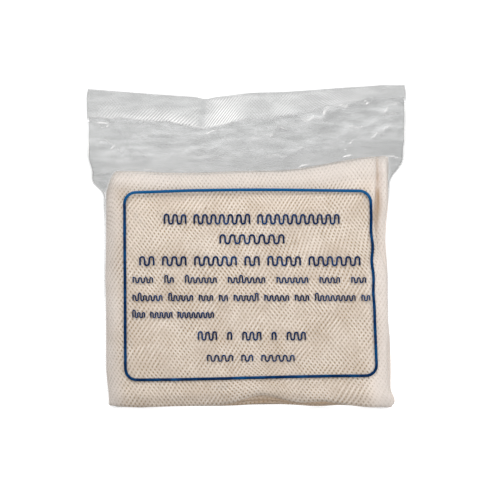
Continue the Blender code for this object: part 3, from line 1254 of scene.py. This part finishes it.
        # no two folds end at the same height
        uneven = np.sin(u / (53 * MM) + 2.1 * layer) + 0.6 * np.sin(u / (19 * MM) + 1.3 * layer)
        drop = 0.35 * MM * (1.6 + uneven) * smooth_step(height, 0.75 * full, full)
        rise = 0.35 * MM * (1.6 - uneven) * (1 - smooth_step(height, 0.0, 0.2 * full))
        # the open lower edge hangs in shallow arches, and the layers behind follow it less and less
        hem = (v < 0.25 * full) & (u > 0)
        open_edge = bells(x, (4.6, 7, 12), (2.6, 33, 8))
        rise = rise + hem * open_edge * (1 - smooth_step(v, 0.0, 0.25 * full))
        stacked = np.where((u > 0) & (layer > 0.4), np.exp(-layer / 2.2), 0.0)
        rise = rise + 0.7 * stacked * open_edge * (1 - smooth_step(height, 0.0, 0.2 * full))
        drop = drop + self.form.corner_drop(x) * smooth_step(height, 0.6 * full, full)
        z = self.form.cloth_low.z + height - drop + rise
        # the block is thinner towards its top and foot
        top = smooth_step(z, self.form.cloth_high.z - 7 * MM, self.form.cloth_high.z + MM)
        foot = 1 - smooth_step(z, 0.0, 7 * MM)
        lean = 0.16 * smooth_step(z, 88 * MM, 104 * MM)
        share = self.form.outward_share(x, z, ease=1.0 * MM) * (1 - lean - 0.34 * top) * (1 - 0.30 * foot)
        across = np.abs(x) / self.form.body_half_width
        upwards = (z - 50 * MM) / (60 * MM)
        crown = 1.04 - 0.06 * across**2 - 0.03 * upwards**2
        return self.form.place(x, y * share * crown, z)

    def build(self, material: Material) -> Piece:
        """Make the cloth: a grid over the flat triangle, cut along its two legs, folded and thickened.

        Args:
            material: The muslin.

        Returns:
            The bandage.
        """
        right = self.half_width_lines(self.front_step)
        left = self.half_width_lines(self.back_step)
        u_lines = np.concatenate([-left[:0:-1], right])
        v_lines = self.height_lines()
        u, v = np.meshgrid(u_lines, v_lines)
        limit = self.altitude - np.abs(u)
        inside = v < limit
        faces = grid_faces(*u.shape)
        faces = faces[inside.ravel()[faces].any(axis=1)]
        v = np.minimum(v, np.maximum(limit, 0.0))
        points, fold_shade = self.folded(u, v)
        points, fold_shade = points.reshape(-1, 3), fold_shade.ravel()
        # painted pale light on the cloth's top and sides
        pale_light = self.painted_pale_light(points)
        used, renumbered = np.unique(faces, return_inverse=True)
        flat = np.column_stack([u.ravel(), v.ravel()])[used]
        cloth = mesh_object("triangular_bandage", points[used], renumbered.reshape(-1, 4), material)
        self.lay_flat_map(cloth, flat)
        # painted shade where the folds open and along the bottom
        set_attribute(cloth, "painted_fold_shade", fold_shade[used])
        set_attribute(cloth, "pale_light", pale_light[used])
        self.weld_slivers(cloth)
        thicken(cloth, self.thickness, 0.0)
        return cloth

    def painted_pale_light(self, points: Array) -> Array:
        """How strongly pale light is painted on the cloth, with its weave's gaps softened: most at the
        block's sides and along its top.

        Args:
            points: The placed points.

        Returns:
            0 where nothing is painted, up to 1 where the painted light is strongest.
        """
        x, z = points[:, 0], points[:, 2]
        right = smooth_step(x + 1.5 * MM * np.sin(z / (7 * MM)), 53 * MM, 61 * MM)
        left = 0.7 * smooth_step(-x + 1.2 * MM * np.sin(z / (6 * MM)), 54 * MM, 61 * MM)
        top = 0.75 * smooth_step(z, 96 * MM, 104 * MM)
        return np.maximum(np.maximum(left, right), top)

    def lay_flat_map(self, cloth: Piece, flat: Array) -> None:
        """Give the cloth a UV map in metres of flat cloth, so that its weave follows every fold.

        Args:
            cloth: The bandage.
            flat: The flat place of each point.
        """
        mesh = cloth.data
        corners = np.empty(len(mesh.loops), np.int32)
        mesh.loops.foreach_get("vertex_index", corners)
        layer = mesh.uv_layers.new(name="flat")
        layer.data.foreach_set("uv", flat[corners].astype(np.float32).ravel())

    def weld_slivers(self, cloth: Piece) -> None:
        """Close up the faces that the cut along the legs has left with no area.

        Args:
            cloth: The bandage.
        """
        work = bmesh.new()
        work.from_mesh(cloth.data)
        bmesh.ops.dissolve_degenerate(work, dist=0.02 * MM, edges=work.edges)
        work.to_mesh(cloth.data)
        work.free()


@dataclass
class FilmBag:
    """The bag's one piece of film: down the front, under the cloth and up the back, to the seal."""

    form: PackForm
    columns: int = 203
    thickness: float = 0.08 * MM
    back_ease: float = 1.9 * MM
    overlap: float = 2.6 * MM
    loose_from: float = 96 * MM

    def seal_line(self, x: Array) -> Array:
        """Nominal height of the seal band's lower edge, which climbs towards the right.

        Args:
            x: Place across the pack.

        Returns:
            The height at each place.
        """
        sag = bells(x, (2.6, -20, 9))
        wavy = 0.35 * MM * np.sin(x / (2.1 * MM)) * np.sin(x / (7.3 * MM))
        return self.form.seal_low - 0.6 * MM - sag + wavy + 5.6 * MM * smooth_step(x, 2 * MM, 62 * MM)

    def row_heights(self) -> tuple[Array, Array]:
        """Heights of the film's rows on one wall, from the bottom's round up to the seal.

        Returns:
            The rows beside the cloth, and the closer ones over the shoulder and in the loose header.
        """
        beside = np.linspace(self.form.bottom_radius, self.loose_from, 44)[:-1]
        loose = np.linspace(self.loose_from, self.form.seal_low, 64)
        return beside, loose

    def section(self, inset: Array, height: Array, side: Array) -> tuple[Array, Array]:
        """Level sections of the bag as x and y, one row for each height.

        Along a section the angle grows as the nth power of the way across over two, so that the flats have
        evenly spaced points, a little closer at the sides. Then x and y are the sine and cosine of it to the
        power of two over n.

        Args:
            inset: How much smaller than the bag each section is.
            height: Nominal height of each section.
            side: -1 for the front wall, 1 for the back one, and between them under the bag.

        Returns:
            Place across and into the pack.
        """
        even = np.linspace(-1, 1, self.columns)
        across = (0.65 * np.sin(math.pi / 2 * even) + 0.35 * even)[None, :]
        power = self.form.squareness(height)[:, None]
        angle = math.pi / 2 * np.abs(across) ** (power / 2)
        x = np.sign(across) * np.sin(angle) ** (2 / power) * (self.form.half_width(height) - inset)[:, None]
        seam = self.form.seam_half
        reach = (self.form.depth(height) - inset - seam)[:, None]
        outward = seam + reach * np.clip(np.cos(angle), 0, 1) ** (2 / power)
        return x, outward * side[:, None]

    def rows(self) -> tuple[Array, Array, Array]:
        """Go from the front's top, round under the bag, to the back's top.

        Returns:
            The inset, height and side of each row, as section takes them.
        """
        wall = np.concatenate(self.row_heights())
        upright = np.zeros(len(wall))
        radius = self.form.bottom_radius
        turn = np.linspace(0, math.pi / 2, 6)[:-1]
        inset_corner = radius * (1 - np.cos(turn[1:]))
        height_corner = radius * (1 - np.sin(turn[1:]))
        under = np.linspace(-1, 1, 11)
        inset = [upright, inset_corner, np.full(len(under), radius), inset_corner[::-1], upright]
        height = [wall[::-1], height_corner, np.zeros(len(under)), height_corner[::-1], wall]
        ones = np.ones(len(wall) + len(inset_corner))
        side = [-ones, under, ones]
        return np.concatenate(inset), np.concatenate(height), np.concatenate(side)

    def haze(self, x: Array, z: Array, sign: Array) -> Array:
        """How milky the film is: fully where it is loose, partly at the back and round the sides.

        Args:
            x: Nominal place across the pack.
            z: Nominal height.
            sign: -1 on the front wall and 1 on the back one.

        Returns:
            The haze, from 0 on the drawn front to 1 in the header.
        """
        free_above = self.free_above(x)
        haze = smooth_step(z, free_above, free_above + 1.6 * MM)
        side = self.form.body_half_width
        wing = smooth_step(np.abs(x), side - 1.0 * MM, side + 0.6 * MM)
        haze = np.maximum(haze, wing * smooth_step(z, 76 * MM, 92 * MM))
        round_side = smooth_step(np.abs(x), 60 * MM, 63 * MM) * (sign > 0)
        haze = np.maximum(haze, np.maximum(0.32 * (sign > 0), 0.45 * round_side))
        return haze * (1 - smooth_step(z - self.seal_line(x), 0.0, self.overlap))

    def tone(self, x: Array, faced: Array, z: Array) -> Array:
        """How light the loose film is: darker to the right, with painted shade over the shoulder, painted
        lightening at the seal's edge and painted light and shadow from its creases.

        Args:
            x: Nominal place across the pack.
            faced: The same as its own wall is seen, mirrored on the back one.
            z: Nominal height.

        Returns:
            The tone, about a half.
        """
        # painted shade over the shoulder, against the extra lamp light that falls on it there
        shoulder = 1 - smooth_step(z, self.form.cloth_high.z + 2 * MM, self.form.cloth_high.z + 13 * MM)
        # painted lightening along the seal's lower edge, against the shadow there
        seam = 0.15 * hump(z, self.seal_line(x) + 0.5 * self.overlap, 0.7 * self.overlap)
        # painted light on the crease ridges and painted shadow under them
        lit = 0.34 * np.clip(FILM_CREASES.relief(faced, z) / MM, 0.0, 1.2)
        lit = lit - 0.26 * FILM_CREASES.shadow(faced, z)
        return 0.50 - 0.24 * smooth_step(x, -75 * MM, 60 * MM) - 0.36 * shoulder + seam + lit

    def free_above(self, x: Array) -> Array:
        """Nominal height from which the film is free of the cloth."""
        return self.form.cloth_high.z - 1.4 * MM - self.form.corner_drop(x)

    def sheen(self, x: Array, z: Array, sign: Array, haze: Array) -> Array:
        """A painted sheen: faint whitening of the drawn film beyond the printed frame, on the front wall
        only.

        Args:
            x: Nominal place across the pack.
            z: Nominal height.
            sign: -1 on the front wall and 1 on the back one.
            haze: The film's haze.

        Returns:
            The whitening.
        """
        beyond_top = 0.20 * smooth_step(z, 95 * MM, 103 * MM)
        beyond_sides = 0.12 * (smooth_step(-x, 53 * MM, 60 * MM) + smooth_step(x, 55 * MM, 61 * MM))
        on_cloth = (sign < 0) * (z < self.free_above(x) + 2 * MM)
        return np.maximum(beyond_top, beyond_sides) * (1 - haze) * on_cloth

    def build(self, material: Material) -> Piece:
        """Make the film's mesh, with its creases, its haze and the glints on its crests.

        Args:
            material: The film.

        Returns:
            The bag.
        """
        inset, height, side = self.rows()
        x, y = self.section(inset, height, side)
        z = np.broadcast_to(height[:, None], x.shape)
        climb = smooth_step(z, self.form.fold_height - 4 * MM, self.form.seal_low)
        z = z + (self.seal_line(x) + self.overlap - self.form.seal_low) * climb
        sign = np.sign(side)[:, None]
        faced = x * np.where(sign > 0, -1, 1)
        off_weld = smooth_step(self.form.half_width(z) - np.abs(x), 0.0, 3 * MM)
        off_bottom = smooth_step(z, 2 * MM, 14 * MM)
        y = y + sign * FILM_CREASES.height(faced, z) * off_weld * off_bottom
        beside_pins = smooth_step(np.abs(x), 30 * MM, 52 * MM) * (1 - smooth_step(z, 96 * MM, 116 * MM))
        y = y - (sign > 0) * self.back_ease * beside_pins * off_bottom * self.form.outward_share(x, z)
        bag = mesh_object("film_bag", self.form.place(x, y, z), grid_faces(*x.shape, flip=True), material)
        haze = self.haze(x, z, sign)
        # painted highlights on the crease crests, and the painted sheen on the front margins
        glint = FILM_CREASES.glint(faced, z) * off_weld
        set_attribute(bag, "haze", haze)
        set_attribute(bag, "tone", self.tone(x, faced, z))
        set_attribute(bag, "glint", np.maximum(glint, self.sheen(x, z, sign, haze)))
        thicken(bag, self.thickness, -1.0)
        return bag


SEAL_PRESSURE = Ripples(seed=21, rise=0.5, shortest=14 * MM, longest=50 * MM)
SEAL_SHINE = Ripples(seed=29, rise=0.7, shortest=18 * MM, longest=60 * MM)


@dataclass
class SealBand:
    """The heat seal: front and back film fused in a band with a fine diamond knurl, and a plain lip above."""

    form: PackForm
    bag: FilmBag
    cell: float = 0.74 * MM
    half_thickness: float = 0.13 * MM
    knurl: float = 0.11 * MM
    lip: float = 1.2 * MM
    beyond_header: float = 0.9 * MM

    def plate(self, x: Array, z: Array, relief: Array, material: Material) -> Piece:
        """A closed plate: a front and a back grid, moved forwards together by the relief, and a rim.

        Args:
            x: Nominal place across the pack, on a grid.
            z: Nominal height.
            relief: How far the plate stands forwards.
            material: The sealed film.

        Returns:
            The plate.
        """
        walls = [self.form.place(x, side * self.half_thickness - relief, z) for side in (-1, 1)]
        points = np.concatenate([wall.reshape(-1, 3) for wall in walls])
        rows, columns = x.shape
        count = rows * columns
        faces = np.concatenate([grid_faces(rows, columns), grid_faces(rows, columns, flip=True) + count])
        index = np.arange(count).reshape(rows, columns)
        rim = np.concatenate([index[0], index[1:, -1], index[-1, -2::-1], index[-2:0:-1, 0]])
        after = np.roll(rim, -1)
        edge = np.stack([rim, rim + count, after + count, after], axis=-1)
        return mesh_object("heat_seal_band", points, np.concatenate([faces, edge]), material)

    def lit(self, x: Array, z: Array, low: Array) -> Array:
        """How brightly the knurl's points shine: in broad patches, most left of the middle.

        Args:
            x: Nominal place across the pack.
            z: Nominal height.
            low: Nominal height of the band's lower edge.

        Returns:
            The shine.
        """
        lower_half = smooth_step(low + 11 * MM - z, 0, 9 * MM)
        lit = bells(x, (0.62, -9, 9), (0.30, 18, 22), (0.08, 50, 20), unit=1.0)
        lit = lit + bells(x, (0.85, -32, 8), unit=1.0) * lower_half
        lit = lit + bells(x, (0.35, -52, 12), unit=1.0) * lower_half**2
        return 0.10 + lit + 0.22 * smooth_step(SEAL_SHINE.at(x, z), 0.0, 0.8)

    def build(self, material: Material) -> Piece:
        """Make the band as a closed plate whose faces carry the knurl.

        Points a cell apart stand up and down in turn, which makes rows of small diamonds.

        Args:
            material: The sealed film.

        Returns:
            The band.
        """
        half = self.form.header_half_width + self.beyond_header
        columns = 2 * round(half / self.cell) + 1
        rows = round((self.form.top - self.form.seal_low) / self.cell) + 1
        x = np.broadcast_to(np.linspace(-half, half, columns)[None, :], (rows, columns))
        low = self.bag.seal_line(x) - 0.3 * MM
        z = low + (self.form.top - low) * np.linspace(0, 1, rows)[:, None]
        checker = (np.add.outer(np.arange(rows), np.arange(columns)) % 2) * 2.0 - 1.0
        below_lip = 1 - smooth_step(z, self.form.top - self.lip, self.form.top - 0.4 * MM)
        knurled = smooth_step(z - low, 0.4 * MM, 2.6 * MM) * below_lip
        pressed = 0.6 + 0.4 * smooth_step(SEAL_PRESSURE.at(x, z), -0.35, 0.35)
        band = self.plate(x, z, self.knurl * checker * knurled * pressed, material)
        crease = hump(x, -21.5 * MM + 0.16 * (z - low), 1.6 * MM)
        fading = smooth_step(z - low, 0.0, self.bag.overlap)
        # painted highlights on the knurl's raised points, in broad patches and broken at the crease
        lit = np.clip(self.lit(x, z, low), 0, 1.2)
        raised = (checker > 0) * knurled * pressed * fading * lit * (1 - 0.8 * crease)
        # painted highlight along the band's lower edge
        lip_line = 0.35 * hump(z, low + self.bag.overlap, 0.5 * MM) * smooth_step(-x, -8 * MM, 8 * MM)
        raised = np.maximum(raised, lip_line * smooth_step(SEAL_SHINE.at(2 * x, z), 0.0, 0.4))
        # painted lighter patch left of the middle, and painted shade in the crease
        tone = 0.07 + 0.25 * hump(x, -12 * MM, 28 * MM) - 0.06 * smooth_step(x, 15 * MM, 50 * MM)
        tone = tone + 0.06 * SEAL_SHINE.at(x, z) - 0.12 * crease
        for name, values in (("glint", 0.62 * raised), ("haze", fading), ("tone", tone)):
            set_attribute(band, name, np.tile(values.ravel(), 2))
        return band


@dataclass
class SideWeld:
    """The fused edge of the bag at one side, a thin bead of melted film from the bottom to the seal."""

    form: PackForm
    bag: FilmBag
    width: float = 1.1 * MM
    half_thickness: float = 0.16 * MM
    rows: int = 150
    around: int = 8

    def build(self, name: str, side: int, material: Material) -> Piece:
        """Make the bead: a flat ellipse carried up the bag's edge, a little uneven along its way.

        Args:
            name: The piece's name.
            side: -1 for the left and 1 for the right.
            material: The sealed film.

        Returns:
            The weld.
        """
        top = float(self.bag.seal_line(np.array(side * self.form.header_half_width)))
        height = np.linspace(self.form.bottom_radius * 0.7, top, self.rows)[:, None]
        turn = np.linspace(0, 2 * math.pi, self.around, endpoint=False)[None, :]
        swell = 1 + 0.18 * np.sin(height / (1.7 * MM)) * np.sin(height / (5.3 * MM))
        centre = self.form.half_width(height) + self.width * 0.25
        x = side * (centre + self.width / 2 * np.cos(turn) * swell)
        y = self.half_thickness * np.sin(turn) * swell
        x, y, z = np.broadcast_arrays(x, y, height)
        points = self.form.place(x, y, z)
        weld = mesh_object(name, points, loop_faces(self.rows, self.around), material)
        if side < 0:
            weld.data.flip_normals()
        upper = smooth_step(z, 80 * MM, 100 * MM)
        set_attribute(weld, "glint", (0.12 + 0.12 * np.sin(z / (2.3 * MM))) * upper)
        set_attribute(weld, "haze", upper * 0.4 + 0.1 * (side > 0))
        set_attribute(weld, "tone", np.full(z.shape, 0.5))
        return weld


@dataclass(frozen=True)
class PrintRow:
    """One row of the print. Each word is a plain line that snakes up and down, and no letters are drawn."""

    height: float
    left: float
    right: float
    rise: float
    words: tuple[int, ...]
    space: float
    bold: float
    low_share: float


@dataclass
class FilmPrint:
    """The blue print on the front film: a rounded frame and rows of snaking lines where words would be."""

    form: PackForm
    left: float = -54.6 * MM
    right: float = 55.6 * MM
    low: float = 14.4 * MM
    high: float = 97.8 * MM
    corner: float = 5.0 * MM
    line: float = 1.3 * MM
    lift: float = 0.06 * MM
    body: float = 0.03 * MM
    tall_share: float = 0.22

    def bar(self, path: Array, width: float) -> tuple[Array, list[list[int]]]:
        """A thin flat bar of ink along a path on the film.

        Args:
            path: Its points as x and z, one row each, where they are to be seen.
            width: Its width.

        Returns:
            Its points, four for each point of the path, and its faces.
        """
        run = np.gradient(path, axis=0)
        run = run / np.linalg.norm(run, axis=1, keepdims=True)
        aside = np.column_stack([-run[:, 1], run[:, 0]]) * width / 2
        sides = [self.form.nominal(*(path - aside).T), self.form.nominal(*(path + aside).T)]
        outer = [self.form.front(x, z, self.lift + self.body) for x, z in sides]
        inner = [self.form.front(x, z, self.lift) for x, z in reversed(sides)]
        points = np.stack(outer + inner, axis=1)
        return points.reshape(-1, 3), loop_faces(len(path), 4)

    def frame_path(self) -> Array:
        """The frame's line: a rounded rectangle, slightly arched and widening to the lower right.

        Returns:
            Its points as x and z, a millimetre apart, back to the first one.
        """
        arc = np.linspace(0, math.pi / 2, 10)
        pieces = []
        for quarter, (right, up) in enumerate(((1, 1), (-1, 1), (-1, -1), (1, -1))):
            tip = np.array([self.right if right > 0 else self.left, self.high if up > 0 else self.low])
            angle = arc + quarter * math.pi / 2
            middle = tip - np.array([right, up]) * self.corner
            pieces.append(middle + self.corner * np.column_stack([np.cos(angle), np.sin(angle)]))
        outline = np.concatenate(pieces + [pieces[0][:1]])
        lengths = np.concatenate([[0], np.cumsum(np.linalg.norm(np.diff(outline, axis=0), axis=1))])
        even = np.linspace(0, lengths[-1], round(lengths[-1] / MM))
        x = np.interp(even, lengths, outline[:, 0])
        z = np.interp(even, lengths, outline[:, 1])
        lower = (self.high - z) / (self.high - self.low)
        right_side = smooth_step(x, 20 * MM, 56 * MM)
        x = x + right_side * 2.9 * MM * np.clip(lower, 0, 1) ** 1.3
        x = x + (1 - right_side) * 0.5 * MM * lower * smooth_step(-x, 20 * MM, 56 * MM)
        upper_lift = bells(x, (0.7, 6, 42)) - 0.6 * MM * smooth_step(-x, 20 * MM, 55 * MM)
        lower_lift = 1.8 * MM * smooth_step(x, -52 * MM, 50 * MM) - 0.9 * MM
        z = z + np.where(lower < 0.5, upper_lift, lower_lift)
        wobble = bells(z, (0.35, 68, 16)) * np.sin(z / (2.3 * MM) + 1.0) * (x > 50 * MM)
        return np.column_stack([x + wobble, z])

    def frame_piece(self, material: Material) -> Piece:
        """Make the frame as one closed bar that runs all round.

        Args:
            material: The ink.

        Returns:
            The frame.
        """
        path = self.frame_path()
        points, _ = self.bar(np.vstack([path[-2:-1], path, path[1:2]]), self.line)
        points = points.reshape(-1, 4, 3)[1:-2].reshape(-1, 3)
        loops = len(points) // 4
        index = np.arange(loops * 4).reshape(loops, 4)
        after, onward = np.roll(index, -1, axis=1), np.roll(index, -1, axis=0)
        faces = np.stack([index, after, np.roll(after, -1, axis=0), onward], axis=-1).reshape(-1, 4)
        return mesh_object("print_frame", points, faces, material)

    def rows(self) -> tuple[PrintRow, ...]:
        """The rows, from the top down.

        Each one is listed as its height, its two ends and its rise in millimetres, the words' lengths in
        letters, the space between words, the line's width in millimetres and the share of the short strokes.

        Returns:
            The rows.
        """
        listed = (
            (85.4, -37.6, 42.3, 5.0, (3, 7, 10), 0.5, 0.82, 0.96),
            (76.5, -12.8, 17.8, 4.8, (7,), 0.5, 0.82, 0.96),
            (66.7, -48.6, 51.7, 4.8, (2, 3, 5, 2, 4, 6), 0.5, 0.82, 0.96),
            (58.6, -51.3, 54.0, 3.9, (4, 2, 6, 7, 6, 4, 3), 1.7, 0.60, 0.68),
            (50.6, -51.3, 55.8, 3.9, (6, 5, 3, 2, 5, 5, 3, 8, 2), 0.8, 0.60, 0.68),
            (43.0, -51.3, -14.2, 3.9, (3, 5, 8), 0.8, 0.60, 0.68),
            (33.2, -22.2, 27.1, 4.3, (3, 1, 3, 1, 3), 1.1, 0.72, 0.94),
            (23.7, -18.1, 22.1, 4.2, (4, 2, 5), 0.8, 0.64, 0.72),
        )
        return tuple(
            PrintRow(z * MM, x0 * MM, x1 * MM, rise * MM, words, space, bold * MM, low)
            for z, x0, x1, rise, words, space, bold, low in listed
        )

    def snake(
        self, row: PrintRow, start: float, pitch: float, strokes: int, random: np.random.Generator
    ) -> Array:
        """The path of one word: upright strokes joined in turn by round bends above and below.

        Args:
            row: The row that the word is in.
            start: Where the word starts.
            pitch: Distance between two strokes.
            strokes: Number of strokes.
            random: Source of the strokes' uneven heights.

        Returns:
            The path's points as x and z.
        """
        foot = row.height - row.rise / 2 + row.bold / 2
        full = row.rise - row.bold
        tall = random.random(strokes) < self.tall_share
        tall[0] = True
        tops = foot + full * np.where(tall, 1.0, row.low_share)
        bend = np.linspace(0, math.pi, 7)[1:-1]
        radius = pitch / 2
        path = [np.array([[start, foot], [start, tops[0] - radius]])]
        for number in range(1, strokes):
            middle = start + (number - 0.5) * pitch
            going_up = number % 2 == 1
            level = min(tops[number - 1], tops[number]) - radius if going_up else foot + radius
            lift = np.sin(bend) * radius * (1 if going_up else -1)
            path.append(np.column_stack([middle - np.cos(bend) * radius, level + lift]))
        last = foot if strokes % 2 == 0 else tops[-1]
        path.append(np.array([[start + (strokes - 1) * pitch, last]]))
        return np.vstack(path)

    def stroke_piece(self, material: Material) -> Piece:
        """Make all the rows' words as one piece of ink.

        Args:
            material: The ink.

        Returns:
            The words.
        """
        random = np.random.default_rng(17)
        points, faces, total = [], [], 0
        for row in self.rows():
            cell = (row.right - row.left) / (sum(row.words) + row.space * (len(row.words) - 1))
            start = row.left
            for letters in row.words:
                strokes = max(2, 2 * letters)
                path = self.snake(row, start + 0.25 * cell, cell * letters / strokes, strokes, random)
                made, sides = self.bar(path, row.bold)
                points.append(made)
                faces.extend([[corner + total for corner in side] for side in sides])
                total += len(made)
                start += (letters + row.space) * cell
        return mesh_object("print_words", np.concatenate(points), faces, material)


def grey(level: float) -> Colour:
    """An even grey."""
    return (level, level, level, 1.0)


@dataclass
class Studio:
    """Where the pack is looked at: a pale floor and sweep, soft lamps, and a camera square to the front."""

    lens: float = 100.0
    view_width: float = 226.5 * MM
    centre: tuple[float, float] = (1.6 * MM, 71.6 * MM)
    lamps_look_at: tuple[float, float, float] = (0.0, 0.0, 60 * MM)
    lamps: tuple = (
        ("key", (-0.30, -0.66, 0.95), 0.5, 4.7),
        ("top", (0.0, -0.22, 0.42), 0.3, 0.62),
        ("fill", (0.85, -0.6, 0.35), 0.6, 3.1),
        ("back", (0.35, 0.95, 0.75), 0.6, 8.0),
    )

    def lamp(self, name: str, place: tuple, size: float, power: float) -> None:
        """Hang one square soft lamp that looks at the middle of the pack.

        Args:
            name: The lamp's name.
            place: Where it hangs.
            size: Its side.
            power: Its power in watts.
        """
        light = bpy.data.lights.new(name, "AREA")
        light.size = size
        light.energy = power
        lamp = bpy.data.objects.new(name, light)
        lamp.location = place
        aim = Vector(self.lamps_look_at) - Vector(place)
        lamp.rotation_euler = aim.to_track_quat("-Z", "Y").to_euler()
        bpy.context.scene.collection.objects.link(lamp)

    def floor(self) -> None:
        """Lay the floor as one wide sheet that curves up far behind the pack."""
        turn = np.linspace(0.1, math.pi / 2, 12)
        depth = np.concatenate([np.linspace(-3.0, 2.0, 8), 2.0 + np.sin(turn), [3.0]])
        rise = np.concatenate([np.zeros(8), 1.0 - np.cos(turn), [4.0]])
        x, y = np.meshgrid(np.linspace(-4.0, 4.0, 9), depth)
        z = np.broadcast_to(rise[:, None], x.shape)
        material, sheet, shader = new_material("pale floor", 0.9)
        glow = sheet.blend(sheet.seen(), grey(0.26), grey(0.95))
        sheet.feed(shader, {"Base Color": grey(0.42), "Emission Color": glow, "Emission Strength": 1.0})
        sweep = mesh_object("floor", np.stack([x, y, z], axis=-1), grid_faces(*x.shape), material)

    def surround(self) -> None:
        """Light the pack evenly from all round, and show white behind it."""
        world = bpy.data.worlds.new("studio")
        world.use_nodes = True
        sheet = NodeSheet(world.node_tree)
        tint = sheet.blend(sheet.seen(), grey(0.36), grey(1.0))
        sheet.feed(world.node_tree.nodes["Background"], {"Color": tint, "Strength": 1.0})
        bpy.context.scene.world = world

    def camera(self) -> None:
        """Set the camera square to the front, at the distance that makes the view this wide at the welds."""
        camera = bpy.data.cameras.new("camera")
        camera.lens = self.lens
        camera.clip_start = 0.01
        distance = self.lens / camera.sensor_width * self.view_width
        holder = bpy.data.objects.new("camera", camera)
        holder.location = (self.centre[0], -distance, self.centre[1])
        holder.rotation_euler = (math.pi / 2, 0.0, 0.0)
        bpy.context.scene.collection.objects.link(holder)
        bpy.context.scene.camera = holder

    def build(self) -> None:
        """Set up the camera, the floor, the lamps and the even light around them."""
        bpy.context.scene.view_settings.view_transform = "Standard"
        self.camera()
        self.floor()
        for name, place, size, power in self.lamps:
            self.lamp(name, place, size, power)
        self.surround()


@dataclass
class SlingPack:
    """The whole pack: builds each piece, dresses it and, for the cloth, the seal band and the print, says
    which CAD body it rides on.
    """

    form: PackForm

    def across_header_fold(self, piece: Piece) -> None:
        """Bake a piece's placement into its mesh points; the piece does not bend at the header's fold."""
        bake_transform(piece)

    def report(self, piece: Piece) -> None:
        """Log a finished piece."""
        LOG.info("%s: %d faces", piece.name, len(piece.data.polygons))

    def build_cloth(self) -> None:
        plan = FoldedBandage(self.form)
        cloth = plan.build(MuslinFinish().material())
        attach(cloth, "pack")
        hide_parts("folded_bandage")
        self.report(cloth)

    def build_bag(self) -> None:
        """Build the film, its seal and its side welds."""
        film = FilmFinish(Clarity.FILM).material()
        sealed = FilmFinish(Clarity.SEAL, loose_alpha=0.385, drawn_alpha=0.0, roughness=0.22).material()
        maker = FilmBag(self.form)
        bag = maker.build(film)
        self.across_header_fold(bag)
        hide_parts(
            "bag_front_film", "bag_back_film", "bag_bottom_fold", "header_front_film", "header_back_film"
        )
        self.report(bag)
        band = SealBand(self.form, maker).build(sealed)
        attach(band, "header")
        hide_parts("top_seal_band")
        self.report(band)
        for name, side in (("left", -1), ("right", 1)):
            weld = SideWeld(self.form, maker).build("side_weld_" + name, side, sealed)
            self.across_header_fold(weld)
            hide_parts("bag_weld_" + name, "header_weld_" + name)
            self.report(weld)

    def build_print(self) -> None:
        """Build the ink on the front film."""
        bright = InkFinish().material()
        deep = InkFinish("deep blue ink", (0.008, 0.023, 0.080, 1.0), (0.018, 0.056, 0.165, 1.0)).material()
        maker = FilmPrint(self.form)
        for piece in (maker.frame_piece(bright), maker.stroke_piece(deep)):
            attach(piece, "pack")
            self.report(piece)

    def dress_pins(self) -> None:
        """Give the safety pins their plated steel."""
        wire = SteelFinish("plated wire").material()
        plated = SteelFinish("plated clasp", colour=(0.74, 0.72, 0.68, 1.0), mark_scale=(900.0, 900.0, 900.0))
        clasp = plated.material()
        for name, node in frame["nodes"].items():
            if name.startswith("pin_"):
                node.data.materials.clear()
                node.data.materials.append(clasp if name.endswith("clasp") else wire)
                self.report(node)

    def build(self) -> None:
        """Build every piece in order."""
        self.build_cloth()
        self.build_bag()
        self.build_print()
        self.dress_pins()


def main() -> None:
    """Build the studio and the pack."""
    logging.basicConfig(level=logging.INFO, format="%(name)s: %(message)s")
    Studio().build()
    SlingPack(PackForm.from_frame()).build()


if __name__ == "__main__":
    main()
